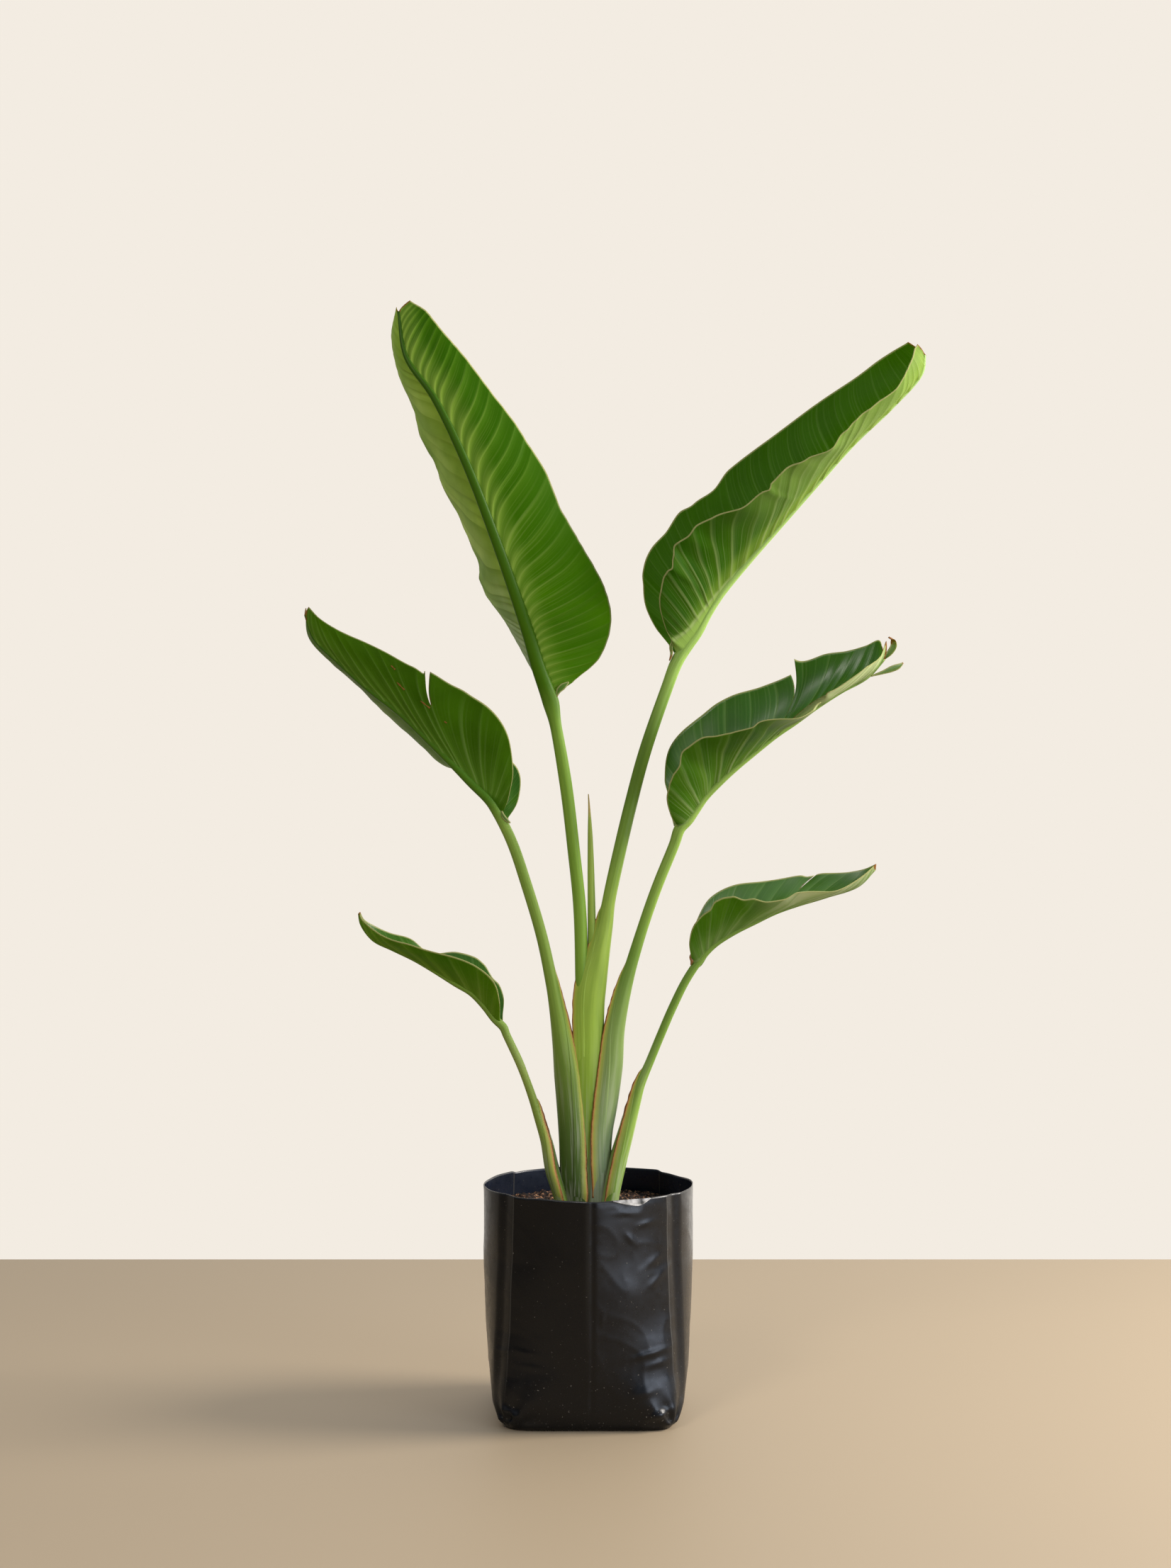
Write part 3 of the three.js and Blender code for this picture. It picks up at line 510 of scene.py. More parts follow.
# What a leaf's two faces look like, and how each leaf differs. The underside is the outside of the
# blade's fold. rib_run is how far the paler green reaches from the midrib, in mm; tip is the green
# that takes over along tip_run, in shares of the blade; slope is how much paler each strip grows
# towards its next side vein, a painted shading of the pleats, and its pale tone a painted highlight;
# the back colours are a painted sheen on the back half; lines and lines_out are how strong the veins
# are at the midrib and at the margin; see_through is how much of the light goes through. stem is the
# stalk's green by height, with a painted shadow part way up the upper right stalk.
UNDERSIDE = {
    "green": "#547f04", "deep": "#3d6600", "back": "#547f04", "back_margin_sheen": "#547f04",
    "back_foot_sheen": "#547f04", "tip": "#547f04", "tip_run": (0.5, 1.0), "band": "#86a648",
    "band_line": 0.0, "rib": "#86a648", "vein": "#a0ba60", "pleat_highlight": "#7ca024", "margin": "#c4bd80",
    "rib_run": 42.0, "lines": 0.6, "lines_out": 0.15, "line_width": 0.12, "slope": 0.4,
    "rough": 0.5, "shine": 0.05, "see_through": 0.4, "glow": "#86b40c",
}
UPPER_SIDE = {
    "green": "#3f6c02", "deep": "#2c5200", "back": "#3f6c02", "back_margin_sheen": "#3f6c02",
    "back_foot_sheen": "#3f6c02", "tip": "#3f6c02", "tip_run": (0.5, 1.0), "band": "#4c7a20",
    "band_line": 0.0, "rib": "#4c7a20", "vein": "#8aa65c", "pleat_highlight": "#4c7a10", "margin": "#c4bd80",
    "rib_run": 18.0, "lines": 0.5, "lines_out": 0.22, "line_width": 0.06, "slope": 0.2,
    "rough": 0.36, "shine": 0.1, "see_through": 0.35, "glow": "#86b40c",
}
LOOKS = {
    "leaf_upper_left": {
        "under": {
            # The pale back colours are a painted sheen on the back half
            "green": "#568c02", "deep": "#3c6e02", "back": "#bcdc48", "back_margin_sheen": "#e8f4a0",
            "back_foot_sheen": "#fffff0", "pleat_highlight": "#78a020", "tip": "#336002", "tip_run": (0.35, 0.75),
            "rib": "#9cba48", "vein": "#b0c860", "lines": 0.42, "lines_out": 0.04, "slope": 0.38,
        },
        "upper": {},
        "stem": [
            (180, "#7a9a2c"), (500, "#7c9c38"), (800, "#7a9a38"), (860, "#406404"), (1320, "#2c4e00"),
        ],
    },
    "leaf_upper_right": {
        "under": {
            "green": "#366602", "deep": "#204600", "rib": "#9cbc44", "vein": "#b0c478",
            "band": "#aacc60", "band_line": 0.8, "rib_run": 40.0, "pleat_highlight": "#78a428", "tip": "#98b654",
            "tip_run": (0.42, 0.74), "slope": 0.45, "lines": 0.8, "line_width": 0.16,
            "see_through": 0.48,
        },
        "upper": {"shine": 0.03},
        "stem": [
            (180, "#5c7420"), (330, "#7c9830"), (430, "#9cb844"), (560, "#94ac48"), (640, "#809a40"),
            # The darker stops at 730 and 800 are a painted shadow cast by the leaves above
            (730, "#5e7a2a"), (800, "#64802e"), (870, "#90ae50"), (1270, "#a0be70"),
        ],
    },
    "leaf_mid_right": {
        "under": {
            "green": "#44700c", "deep": "#2c4e02", "rib": "#74983c", "vein": "#a8bc78", "rib_run": 28.0,
            "band": "#86a850", "band_line": 0.5, "pleat_highlight": "#84ac38", "tip": "#e0eaac",
            "tip_run": (0.54, 0.78), "slope": 0.6, "lines": 0.8, "line_width": 0.16,
            "see_through": 0.45,
        },
        "upper": {
            "green": "#457a2c", "deep": "#2a5616", "pleat_highlight": "#689c4c", "shine": 0.6, "rough": 0.3,
            "lines": 0.7, "lines_out": 0.45, "slope": 0.5,
        },
        "stem": [
            (180, "#54543e"), (300, "#8c9c70"), (430, "#869c54"), (540, "#6e8c36"), (580, "#7c983e"),
            (650, "#849e44"), (920, "#86a850"),
        ],
    },
    "leaf_mid_left": {
        "under": {
            "green": "#487008", "deep": "#2e4a00", "rib": "#688e2c", "vein": "#8ca658", "rib_run": 60.0,
            # The pale back colours are a painted sheen on the back half
            "band": "#3e640a", "back": "#a0b078", "back_margin_sheen": "#bcc89c", "back_foot_sheen": "#a0b078",
            "pleat_highlight": "#5c8418", "lines_out": 0.03, "slope": 0.3,
        },
        "upper": {"green": "#3f7034", "deep": "#285420"},
        "stem": [
            (180, "#2c2c1e"), (330, "#54682e"), (450, "#7c943c"), (690, "#86a044"), (725, "#4a7016"),
            (960, "#345a08"),
        ],
    },
    "leaf_lower_right": {
        "under": {
            "green": "#548210", "deep": "#366002", "rib": "#86a258", "vein": "#9cb26e",
            "band": "#7f9c4e", "band_line": 0.4, "pleat_highlight": "#749a30", "tip": "#dce2b0",
            "tip_run": (0.4, 0.75), "slope": 0.5,
        },
        "upper": {
            "green": "#7ca65a", "deep": "#4c7838", "pleat_highlight": "#94ba70", "shine": 0.6, "rough": 0.3,
            "lines": 0.7, "lines_out": 0.4, "slope": 0.5,
        },
        "stem": [
            (180, "#5c782c"), (340, "#829c44"), (420, "#72903a"), (530, "#72903a"), (660, "#7f9c4e"),
        ],
    },
    "leaf_lower_left": {
        "under": {
            "green": "#648c10", "deep": "#466c04", "rib": "#7c9a34", "vein": "#8fa650",
            "band": "#5c8418", "tip": "#46700a", "tip_run": (0.15, 0.4),
        },
        "upper": {
            # The pale grey tip of the far half is a painted sheen
            "green": "#4f7838", "deep": "#2f5618", "tip": "#9cac80", "tip_run": (0.45, 0.7),
            "shine": 0.3,
        },
        "stem": [
            (180, "#55672c"), (320, "#8a9e44"), (400, "#92a44c"), (450, "#7c9440"), (600, "#5c8418"),
        ],
    },
}
LEAF_KEYS = ("vein", "side", "along", "reach", "edge", "rib", "dry")
FINE_VEINS = 9.0  # fine veins between two side veins, about 2 mm apart


def colour(code):
    """An sRGB hex colour as linear red, green, blue and alpha."""
    parts = [int(code[i:i + 2], 16) / 255 for i in (1, 3, 5)]
    linear = [p / 12.92 if p <= 0.04045 else ((p + 0.055) / 1.055) ** 2.4 for p in parts]
    return (*linear, 1.0)


def blend(a, b, share):
    """From a at share 0 to b at share 1."""
    return a + (b - a) * share


def between(pairs, place):
    """The value at a place on a soft line through pairs of place and value."""
    for (low, low_value), (high, high_value) in zip(pairs, pairs[1:]):
        if place <= high:
            return blend(low_value, high_value, smooth(low, high, place))
    return pairs[-1][1]


def smooth(low, high, value):
    """From 0 at low to 1 at high, with soft ends."""
    share = min(1.0, max(0.0, (value - low) / (high - low)))
    return share * share * (3 - 2 * share)


def curve_through(points):
    """A smooth curve through points of any dimension, by the share of their number.

    It is the centripetal Catmull-Rom curve that the CAD model's own rails follow.
    """
    knots = [Vector(point) for point in points]
    knots = [2 * knots[0] - knots[1], *knots, 2 * knots[-1] - knots[-2]]

    def at(share):
        place = min(1.0, max(0.0, share)) * (len(knots) - 3)
        low = min(int(place), len(knots) - 4)
        part = place - low
        p0, p1, p2, p3 = knots[low:low + 4]
        pairs = ((p0, p1), (p1, p2), (p2, p3))
        gap0, gap1, gap2 = (max(1e-4, math.sqrt((b - a).length)) for a, b in pairs)
        leave = ((p1 - p0) / gap0 - (p2 - p0) / (gap0 + gap1) + (p2 - p1) / gap1) * gap1
        arrive = ((p2 - p1) / gap1 - (p3 - p1) / (gap1 + gap2) + (p3 - p2) / gap2) * gap1
        return (
            p1
            + leave * part
            + (3 * (p2 - p1) - 2 * leave - arrive) * part ** 2
            + (2 * (p1 - p2) + leave + arrive) * part ** 3
        )

    return at


def tangent_of(curve, share, step=1e-4):
    """The way that a curve runs at a share of it."""
    return (curve(min(1.0, share + step)) - curve(max(0.0, share - step))).normalized()


def uneven(x, y, z):
    """Smooth noise between about -1 and 1."""
    return noise.noise(Vector((x, y, z)))


# Materials

# Settings that many shader nodes share
COLOURS = {"data_type": "RGBA"}
SOFT = {"interpolation_type": "SMOOTHSTEP"}


def node(tree, kind, inputs=None, **settings):
    """Adds a node, links the sockets and sets the constants among inputs, returns its first output."""
    made = tree.nodes.new("ShaderNode" + kind)
    for name, value in settings.items():
        setattr(made, name, value)
    usable = [socket for socket in made.inputs if socket.enabled]
    for key, value in (inputs or {}).items():
        socket = usable[key] if isinstance(key, int) else next(s for s in usable if s.name == key)
        if isinstance(value, bpy.types.NodeSocket):
            tree.links.new(value, socket)
        else:
            socket.default_value = value
    return next((socket for socket in made.outputs if socket.enabled), None)


def new_material(name):
    """An empty material and the function that adds a node to it."""
    material = bpy.data.materials.new(name)
    material.use_nodes = True
    material.node_tree.nodes.clear()
    return material, functools.partial(node, material.node_tree)


def leaf_face(name, look):
    """Living strelitzia leaf: a waxy, faintly pleated skin over a green that lets light through."""
    material, add = new_material(name)
    vein, side, along, reach, edge, rib, dry = (
        add("Attribute", attribute_name=key).node.outputs["Fac"] for key in LEAF_KEYS
    )
    place = add("TexCoord").node.outputs["Object"]
    out = add("Math", {0: side}, operation="ABSOLUTE")

    # Broad cloudy change of green, over about 60 mm
    cloud = add("TexNoise", {"Vector": place, "Scale": 17.0, "Detail": 3.0})
    cloud_part = add("MapRange", {0: cloud, 1: 0.35, 2: 0.7, 3: 0.0, 4: 0.6})
    green = add("Mix", {0: cloud_part, 1: colour(look["green"]), 2: colour(look["deep"])}, **COLOURS)

    # Painted sheen: the back half can be paler, and palest at its margin or its foot
    half = add("Math", {0: side, 1: 0.0}, operation="GREATER_THAN")
    back = add("Mix", {0: out, 1: colour(look["back"]), 2: colour(look["back_margin_sheen"])}, **COLOURS)
    foot_sheen_part = add("MapRange", {0: along, 1: 0.14, 2: 0.55, 3: 0.9, 4: 0.0}, **SOFT)
    back = add("Mix", {0: foot_sheen_part, 1: back, 2: colour(look["back_foot_sheen"])}, **COLOURS)
    back = add("Mix", {0: cloud_part, 1: back, 2: green}, **COLOURS)
    green = add("Mix", {0: half, 1: back, 2: green}, **COLOURS)
    tip_part = add("MapRange", {0: along, 1: look["tip_run"][0], 2: look["tip_run"][1]}, **SOFT)
    tip_part = add("Math", {0: tip_part, 1: half}, operation="MULTIPLY")

    # Each strip between two veins has its own tone
    strip = add("Math", {0: vein}, operation="FLOOR")
    strip_key = add("Math", {0: half, 1: 57.0, 2: strip}, operation="MULTIPLY_ADD")
    strip_tone = add("TexWhiteNoise", {"W": strip_key}, noise_dimensions="1D")
    strip_part = add("Math", {0: strip_tone, 1: 0.35}, operation="MULTIPLY")
    # Painted shading of the pleats: each strip grows paler towards its next side vein, as if lit on its
    # slope
    through = add("Math", {0: vein}, operation="FRACT")
    slope = add("Math", {0: through, 1: 2.0}, operation="POWER")
    pleat_shade_fade = add("MapRange", {0: out, 1: 0.1, 2: 0.9, 3: look["slope"], 4: 0.4 * look["slope"]})
    pleat_shade_part = add("Math", {0: slope, 1: pleat_shade_fade}, operation="MULTIPLY")

    # Paler towards the midrib, most of all along the veins
    from_vein = add("Math", {0: vein, 1: 0.5}, operation="PINGPONG")
    band = add("MapRange", {0: from_vein, 1: 0.0, 2: 0.45, 3: 1.0, 4: 0.45}, **SOFT)
    rib_part = add("MapRange", {0: reach, 1: 0.0, 2: look["rib_run"], 3: 1.0, 4: 0.0}, **SOFT)
    rib_part = add("Math", {0: rib_part, 1: band}, operation="MULTIPLY")
    from_foot = add("MapRange", {0: along, 1: 0.02, 2: 0.22, 3: 0.25, 4: 1.0})
    rib_part = add("Math", {0: rib_part, 1: from_foot}, operation="MULTIPLY")

    # Side veins fade towards the margin, and each has its own strength; fine ones lie between
    nearest = add("Math", {0: vein}, operation="ROUND")
    strength = add("TexWhiteNoise", {"W": nearest}, noise_dimensions="1D")
    strength = add("MapRange", {0: strength, 1: 0.0, 2: 1.0, 3: 0.25, 4: 1.0})
    fade = add("MapRange", {0: out, 1: 0.15, 2: 0.95, 3: look["lines"], 4: look["lines_out"]})
    line = add("MapRange", {0: from_vein, 1: 0.0, 2: look["line_width"], 3: 1.0, 4: 0.0}, **SOFT)
    beyond = add("Math", {0: 1.0, 1: rib}, operation="SUBTRACT")
    fade = add("Math", {0: fade, 1: beyond}, operation="MULTIPLY")
    line_part = add("Math", {0: line, 1: fade}, operation="MULTIPLY")
    line_part = add("Math", {0: line_part, 1: strength}, operation="MULTIPLY")
    fine_count = add("Math", {0: vein, 1: FINE_VEINS}, operation="MULTIPLY")
    fine_tone = add("TexNoise", {"W": fine_count, "Scale": 1.0, "Detail": 2.0}, noise_dimensions="1D")
    fine = add("MapRange", {0: fine_tone, 1: 0.5, 2: 0.75, 3: 0.0, 4: 1.0})
    fine_part = add("Math", {0: fine, 1: fade}, operation="MULTIPLY")
    fine_part = add("Math", {0: fine_part, 1: 0.6}, operation="MULTIPLY")

    # The band beside the midrib has a pale edge where the side veins run together, and the blade a
    # pale margin line. Each layer's strength goes with the colour that it lays over those before it.
    band_edge = add("Math", {0: rib, 1: 0.5}, operation="PINGPONG")
    band_edge = add("MapRange", {0: band_edge, 1: 0.1, 2: 0.45, 3: 0.0, 4: look["band_line"]})
    margin = add("MapRange", {0: edge, 1: 0.7, 2: 1.7, 3: 0.85, 4: 0.0})
    layers = [
        (tip_part, "tip"), (strip_part, "deep"), (pleat_shade_part, "pleat_highlight"), (rib_part, "rib"),
        (line_part, "vein"), (fine_part, "vein"), (rib, "band"), (band_edge, "vein"),
        (margin, "margin"),
    ]
    for part, key in layers:
        green = add("Mix", {0: part, 1: green, 2: colour(look[key])}, **COLOURS)

    # Dry brown where the leaf has torn or died back
    fray = add("TexNoise", {"Vector": place, "Scale": 260.0, "Detail": 4.0})
    fray_part = add("Math", {0: dry, 1: fray}, operation="ADD")
    dry_part = add("MapRange", {0: fray_part, 1: 0.85, 2: 1.1, 3: 0.0, 4: 1.0})
    dry_tone = add("Mix", {0: fray, 1: colour("#c08445"), 2: colour("#5c3416")}, **COLOURS)
    tone = add("Mix", {0: dry_part, 1: green, 2: dry_tone}, **COLOURS)

    height = add("Math", {0: line, 1: 2.0, 2: fine}, operation="MULTIPLY_ADD")
    grain = add("Bump", {"Height": height, "Strength": 0.12, "Distance": 0.0003})
    skin = add("BsdfPrincipled", {
        "Base Color": tone, "Roughness": look["rough"], "IOR": 1.45,
        "Specular IOR Level": look["shine"], "Normal": grain,
    })
    glow_tone = add("Mix", {0: 0.55, 1: tone, 2: colour(look["glow"])}, **COLOURS)
    glow = add("BsdfTranslucent", {"Color": glow_tone, "Normal": grain})
    surface = add("MixShader", {0: look["see_through"], 1: skin, 2: glow})
    add("OutputMaterial", {"Surface": surface})
    return material


def stem_skin(name, ramp, margin=False):
    """Waxy leaf stalk: green by height, with fine lengthwise fibres under a smooth skin.

    A sheath's margin yellows towards its edge and ends in a dry brown line.
    """
    material, add = new_material(name)
    place = add("TexCoord").node.outputs["Object"]
    wrap = add("UVMap", uv_map="skin")
    height = add("SeparateXYZ", {0: place}).node.outputs["Z"]
    low, high = ramp[0][0] * MM, ramp[-1][0] * MM
    share = add("MapRange", {0: height, 1: low, 2: high, 3: 0.0, 4: 1.0})
    bands = add("ValToRGB", {0: share})
    stops = bands.node.color_ramp.elements
    for i, (z, code) in enumerate(ramp):
        position = (z * MM - low) / (high - low)
        stop = stops[0] if i == 0 else stops.new(position) if i < len(ramp) - 1 else stops[-1]
        stop.position = position
        stop.color = colour(code)
    stretch = add("Mapping", {"Vector": wrap, "Scale": (1.0, 0.03, 1.0)})
    fibre = add("TexNoise", {"Vector": stretch, "Scale": 0.4, "Detail": 3.0})
    fibre_part = add("MapRange", {0: fibre, 1: 0.4, 2: 0.75, 3: 0.0, 4: 0.35})

    # Old sheath tissue low down has pale grey streaks
    streak = add("MapRange", {0: fibre, 1: 0.52, 2: 0.38, 3: 0.0, 4: 0.4})
    age = add("MapRange", {0: height, 1: 0.3, 2: 0.46, 3: 1.0, 4: 0.0})
    streak = add("Math", {0: streak, 1: age}, operation="MULTIPLY")
    layers = [(fibre_part, "#3f6414"), (streak, "#a9ad92")]
    if margin:
        ragged = add("TexNoise", {"Vector": wrap, "Scale": 0.35, "Detail": 4.0})
        inward = add("SeparateXYZ", {0: wrap}).node.outputs["X"]
        inward = add("Math", {0: ragged, 1: 2.0, 2: inward}, operation="MULTIPLY_ADD")
        for start, end, strength, code in SHEATH_EDGE_TONES:
            part = add("MapRange", {0: inward, 1: start, 2: end, 3: strength, 4: 0.0})
            layers.append((part, code))
    tone = bands
    for part, code in layers:
        tone = add("Mix", {0: part, 1: tone, 2: colour(code)}, **COLOURS)
    grain = add("Bump", {"Height": fibre, "Strength": 0.1, "Distance": 0.0004})
    skin = add("BsdfPrincipled", {
        "Base Color": tone, "Roughness": 0.42, "IOR": 1.45, "Specular IOR Level": 0.15, "Normal": grain,
        "Subsurface Weight": 0.08, "Subsurface Radius": (0.004, 0.006, 0.002), "Subsurface Scale": 0.5,
    })
    add("OutputMaterial", {"Surface": skin})
    return material


def polythene(name, film):
    """Black low-density polythene film: soft wide highlights, pale crease lines, a painted sheen beside
    the seam and a little dust.
    """
    material, add = new_material(name)
    place = add("TexCoord").node.outputs["Object"]
    rubbed_and_sheen = add("Attribute", attribute_name="rubbed_and_sheen").node.outputs["Fac"]
    from_crease = add("Attribute", attribute_name="from_crease").node.outputs["Fac"]
    from_crease = add("Math", {0: from_crease}, operation="ABSOLUTE")
    height = add("SeparateXYZ", {0: place}).node.outputs["Z"]

    # Above the base each crease is paler in a thin line
    above_base = add("MapRange", {0: height, 1: 0.02, 2: 0.11, 3: 0.0, 4: 0.6})
    crease_line = add("MapRange", {0: from_crease, 1: 0.5, 2: 1.1, 3: 1.0, 4: 0.0})
    crease_line = add("Math", {0: crease_line, 1: above_base}, operation="MULTIPLY")
    rubbed_and_sheen = add("Math", {0: rubbed_and_sheen, 1: crease_line}, operation="MAXIMUM")

    scuff = add("TexNoise", {"Vector": place, "Scale": 130.0, "Detail": 6.0})
    cloud = add("TexNoise", {"Vector": place, "Scale": 14.0, "Detail": 3.0})
    tone = add("Mix", {0: cloud, 1: colour("#020203"), 2: colour(film)}, **COLOURS)
    # Paler where the film is rubbed on the rim, and a painted sheen beside the seam
    tone = add("Mix", {0: rubbed_and_sheen, 1: tone, 2: colour("#45433f")}, **COLOURS)

    # Specks of dust and mix, most of them near the floor
    speck = add("TexNoise", {"Vector": place, "Scale": 420.0, "Detail": 2.0})
    low = add("MapRange", {0: height, 1: 0.0, 2: 0.11, 3: 0.035, 4: 0.0})
    speck = add("Math", {0: speck, 1: low}, operation="ADD")
    speck = add("MapRange", {0: speck, 1: 0.72, 2: 0.78, 3: 0.0, 4: 0.5})
    tone = add("Mix", {0: speck, 1: tone, 2: colour("#8c857a")}, **COLOURS)

    rough = add("MapRange", {0: scuff, 1: 0.3, 2: 0.7, 3: 0.25, 4: 0.36})
    grain = add("Bump", {"Height": scuff, "Strength": 0.03, "Distance": 0.0004})
    skin = add("BsdfPrincipled", {
        "Base Color": tone, "Roughness": rough, "IOR": 1.5, "Specular IOR Level": 0.34, "Normal": grain,
    })
    add("OutputMaterial", {"Surface": skin})
    return material


def whitened_sheen_polythene():
    """The same film where a fold has whitened it, painted paler still for the sheen that the fold
    catches.
    """
    material, add = new_material("whitened_polythene_sheen_film")
    place = add("TexCoord").node.outputs["Object"]
    crease = add("TexNoise", {"Vector": place, "Scale": 90.0, "Detail": 4.0})
    part = add("MapRange", {0: crease, 1: 0.35, 2: 0.65})
    tone = add("Mix", {0: part, 1: colour("#2c2b2a"), 2: colour("#b9b5b0")}, **COLOURS)
    grain = add("Bump", {"Height": crease, "Strength": 0.3, "Distance": 0.0006})
    skin = add("BsdfPrincipled", {
        "Base Color": tone, "Roughness": 0.3, "IOR": 1.5, "Normal": grain,
    })
    add("OutputMaterial", {"Surface": skin})
    return material


def coir():
    """Coir potting mix: matt red-brown crumbs with darker damp ones between."""
    material, add = new_material("coir_potting_mix")
    place = add("TexCoord").node.outputs["Object"]
    crumb = add("TexNoise", {"Vector": place, "Scale": 260.0, "Detail": 5.0})
    tone = add("ValToRGB", {0: crumb})
    stops = tone.node.color_ramp.elements
    stops[0].position, stops[0].color = 0.42, colour("#080402")
    stops[1].position, stops[1].color = 0.72, colour("#b88a64")
    middle = stops.new(0.56)
    middle.color = colour("#341c0e")
    grain = add("Bump", {"Height": crumb, "Strength": 0.6, "Distance": 0.001})
    skin = add("BsdfPrincipled", {
        "Base Color": tone, "Roughness": 0.95, "IOR": 1.4, "Normal": grain,
    })
    add("OutputMaterial", {"Surface": skin})
    return material


def root_bark():
    """Fleshy root: pale tan skin with fine lengthwise cracks."""
    material, add = new_material("fleshy_root_skin")
    place = add("TexCoord").node.outputs["Object"]
    crack = add("TexNoise", {"Vector": place, "Scale": 120.0, "Detail": 5.0})
    tone = add("Mix", {0: crack, 1: colour("#c79c68"), 2: colour("#7c5836")}, **COLOURS)
    grain = add("Bump", {"Height": crack, "Strength": 0.4, "Distance": 0.0006})
    skin = add("BsdfPrincipled", {
        "Base Color": tone, "Roughness": 0.8, "IOR": 1.4, "Normal": grain,
    })
    add("OutputMaterial", {"Surface": skin})
    return material


# Meshes


def new_grid(columns, rows):
    """A flat grid over -0.5 to 0.5 both ways, with a UV map for real sizes on its surface."""
    bm = bmesh.new()
    bm.loops.layers.uv.new("skin")
    bmesh.ops.create_grid(bm, x_segments=columns, y_segments=rows, size=0.5, calc_uvs=True)
    return bm


def lay_skin(bm, places):
    """Writes the UV map from each vertex's place on the flattened surface, in millimetres."""
    uv = bm.loops.layers.uv["skin"]
    for face in bm.faces:
        for loop in face.loops:
            loop[uv].uv = places[loop.vert]


def finish_piece(name, bm, materials, replaces=None):
    """Turns a bmesh in millimetres into a piece in metres that rides with the plant."""
    bmesh.ops.scale(bm, vec=(MM, MM, MM), verts=bm.verts)
    for face in bm.faces:
        face.smooth = True
    mesh = bpy.data.meshes.new(name)
    bm.to_mesh(mesh)
    bm.free()
    piece = bpy.data.objects.new(name, mesh)
    bpy.context.scene.collection.objects.link(piece)
    for material in materials:
        mesh.materials.append(material)
    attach(piece, "root")
    if replaces:
        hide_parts(replaces)
    return piece


def thicken(piece, thickness, offset=0.0, materials=1):
    """Gives a sheet its thickness, in millimetres; its far face takes the next material."""
    wall = piece.modifiers.new("thickness", "SOLIDIFY")
    wall.thickness = thickness * MM
    wall.offset = offset
    if materials > 1:
        wall.material_offset = 1


def open_edges(bm):
    """The edges that have a face on one side only."""
    return [edge for edge in bm.edges if edge.is_boundary]


def close_up(bm, edges):
    """Fills the holes that the edges go round, and turns all faces outwards."""
    bmesh.ops.holes_fill(bm, edges=edges, sides=0)
    bmesh.ops.recalc_face_normals(bm, faces=bm.faces)


def tube(rings, sides, rows, length, shape=None):
    """A closed round piece: rings(share) gives its middle and two half axes, shape grooves it."""
    bm = new_grid(sides, rows)
    flat = {vert: (vert.co.x + 0.5, vert.co.y + 0.5) for vert in bm.verts}
    around = {}
    at = functools.lru_cache(maxsize=None)(rings)
    for vert, (round_part, up) in flat.items():
        turn, share = round_part * 2 * math.pi, round(up, 7)
        middle, across, deep = at(share)
        reach = shape(turn, share) if shape else 1.0
        vert.co = middle + across * (math.cos(turn) * reach) + deep * (math.sin(turn) * reach)
        around[share] = across.length + deep.length
    girth = 2 * math.pi * sum(around.values()) / len(around) / 2
    lay_skin(bm, {vert: (round_part * girth, up * length) for vert, (round_part, up) in flat.items()})
    bmesh.ops.remove_doubles(bm, verts=bm.verts, dist=1e-5)
    close_up(bm, open_edges(bm))
    return bm


def ribbon(spine, lean, curl):
    """A narrow sheet along knots of x, y, z, half width and dryness; lean is the way it is wide."""
    path = curve_through(spine)
    lean = Vector(lean).normalized()
    bm = new_grid(*RIBBON_GRID)
    edge, reach, dry = (bm.verts.layers.float.new(key) for key in ("edge", "reach", "dry"))
    for vert in bm.verts:
        out, share = 2 * vert.co.x, vert.co.y + 0.5
        x, y, z, half_width, vert[dry] = path(share)
        vert[edge], vert[reach] = (1 - abs(out)) * half_width, FAR_FROM_RIB
        along = tangent_of(path, share, 0.01).to_3d().normalized()
        across = (lean - along * lean.dot(along)).normalized()
        rolled = along.cross(across) * (curl * (1 - out * out))
        vert.co = Vector((x, y, z)) + across * (out * half_width) + rolled
    return bm


# Leaves


def rails_of(leaf):
    """The midrib, the near margin and the far margin, and which way the underside faces."""
    rib, front, back = (curve_through(rail) for rail in zip(*leaf["rows"]))

    def under(share):
        middle = rib(share)
        along = tangent_of(rib, share)
        down = middle - (front(share) + back(share)) / 2
        return (down - along * down.dot(along)).normalized()

    return rib, front, back, under


def rib_radius(leaf, share):
    """The midrib's radius at a share of the blade."""
    return leaf["rib_radius"] * max(0.0, 1 - share) ** RIB_TAPER + RIB_TIP_RADIUS


def vein_places(leaf, rib):
    """Where the side veins leave the midrib, as shares along the blade, unevenly spaced.

    The vein nearest to a tear is moved on to it, and the tear keeps its number.
    """
    draw = random.Random(leaf["slot"])
    steps = 200
    length = sum((rib((i + 1) / steps) - rib(i / steps)).length for i in range(steps))
    count = round(length / leaf["vein_gap"])
    gaps = [1 + VEIN_SPREAD * draw.uniform(-1, 1) for _ in range(count)]
    places = [0.0]
    for gap in gaps:
        places.append(places[-1] + gap / sum(gaps))
    places[-1] = 1.0
    for tear in leaf["tears"]:
        share = tear["row"] / (len(leaf["rows"]) - 1)
        end = 1.0 if tear["half"] == "front" else -1.0
        nearest = min(range(1, count), key=lambda i: abs(risen(leaf, places[i], end) - share))
        for _ in range(VEIN_FIT_ROUNDS):
            places[nearest] += share - risen(leaf, places[nearest], end)
        tear["vein"] = nearest
    return sorted(places)


def rise(leaf, out):
    """How strongly a side vein rises on its way out, before risen fades it at foot and tip."""
    start, slope, end = leaf["rise"]["front" if out > 0 else "back"]
    width = abs(out)
    leave = 1 - math.exp(-max(0.0, width - VEIN_START) / VEIN_START)
    return 4 * (start * leave + slope * width + end * width ** 5)


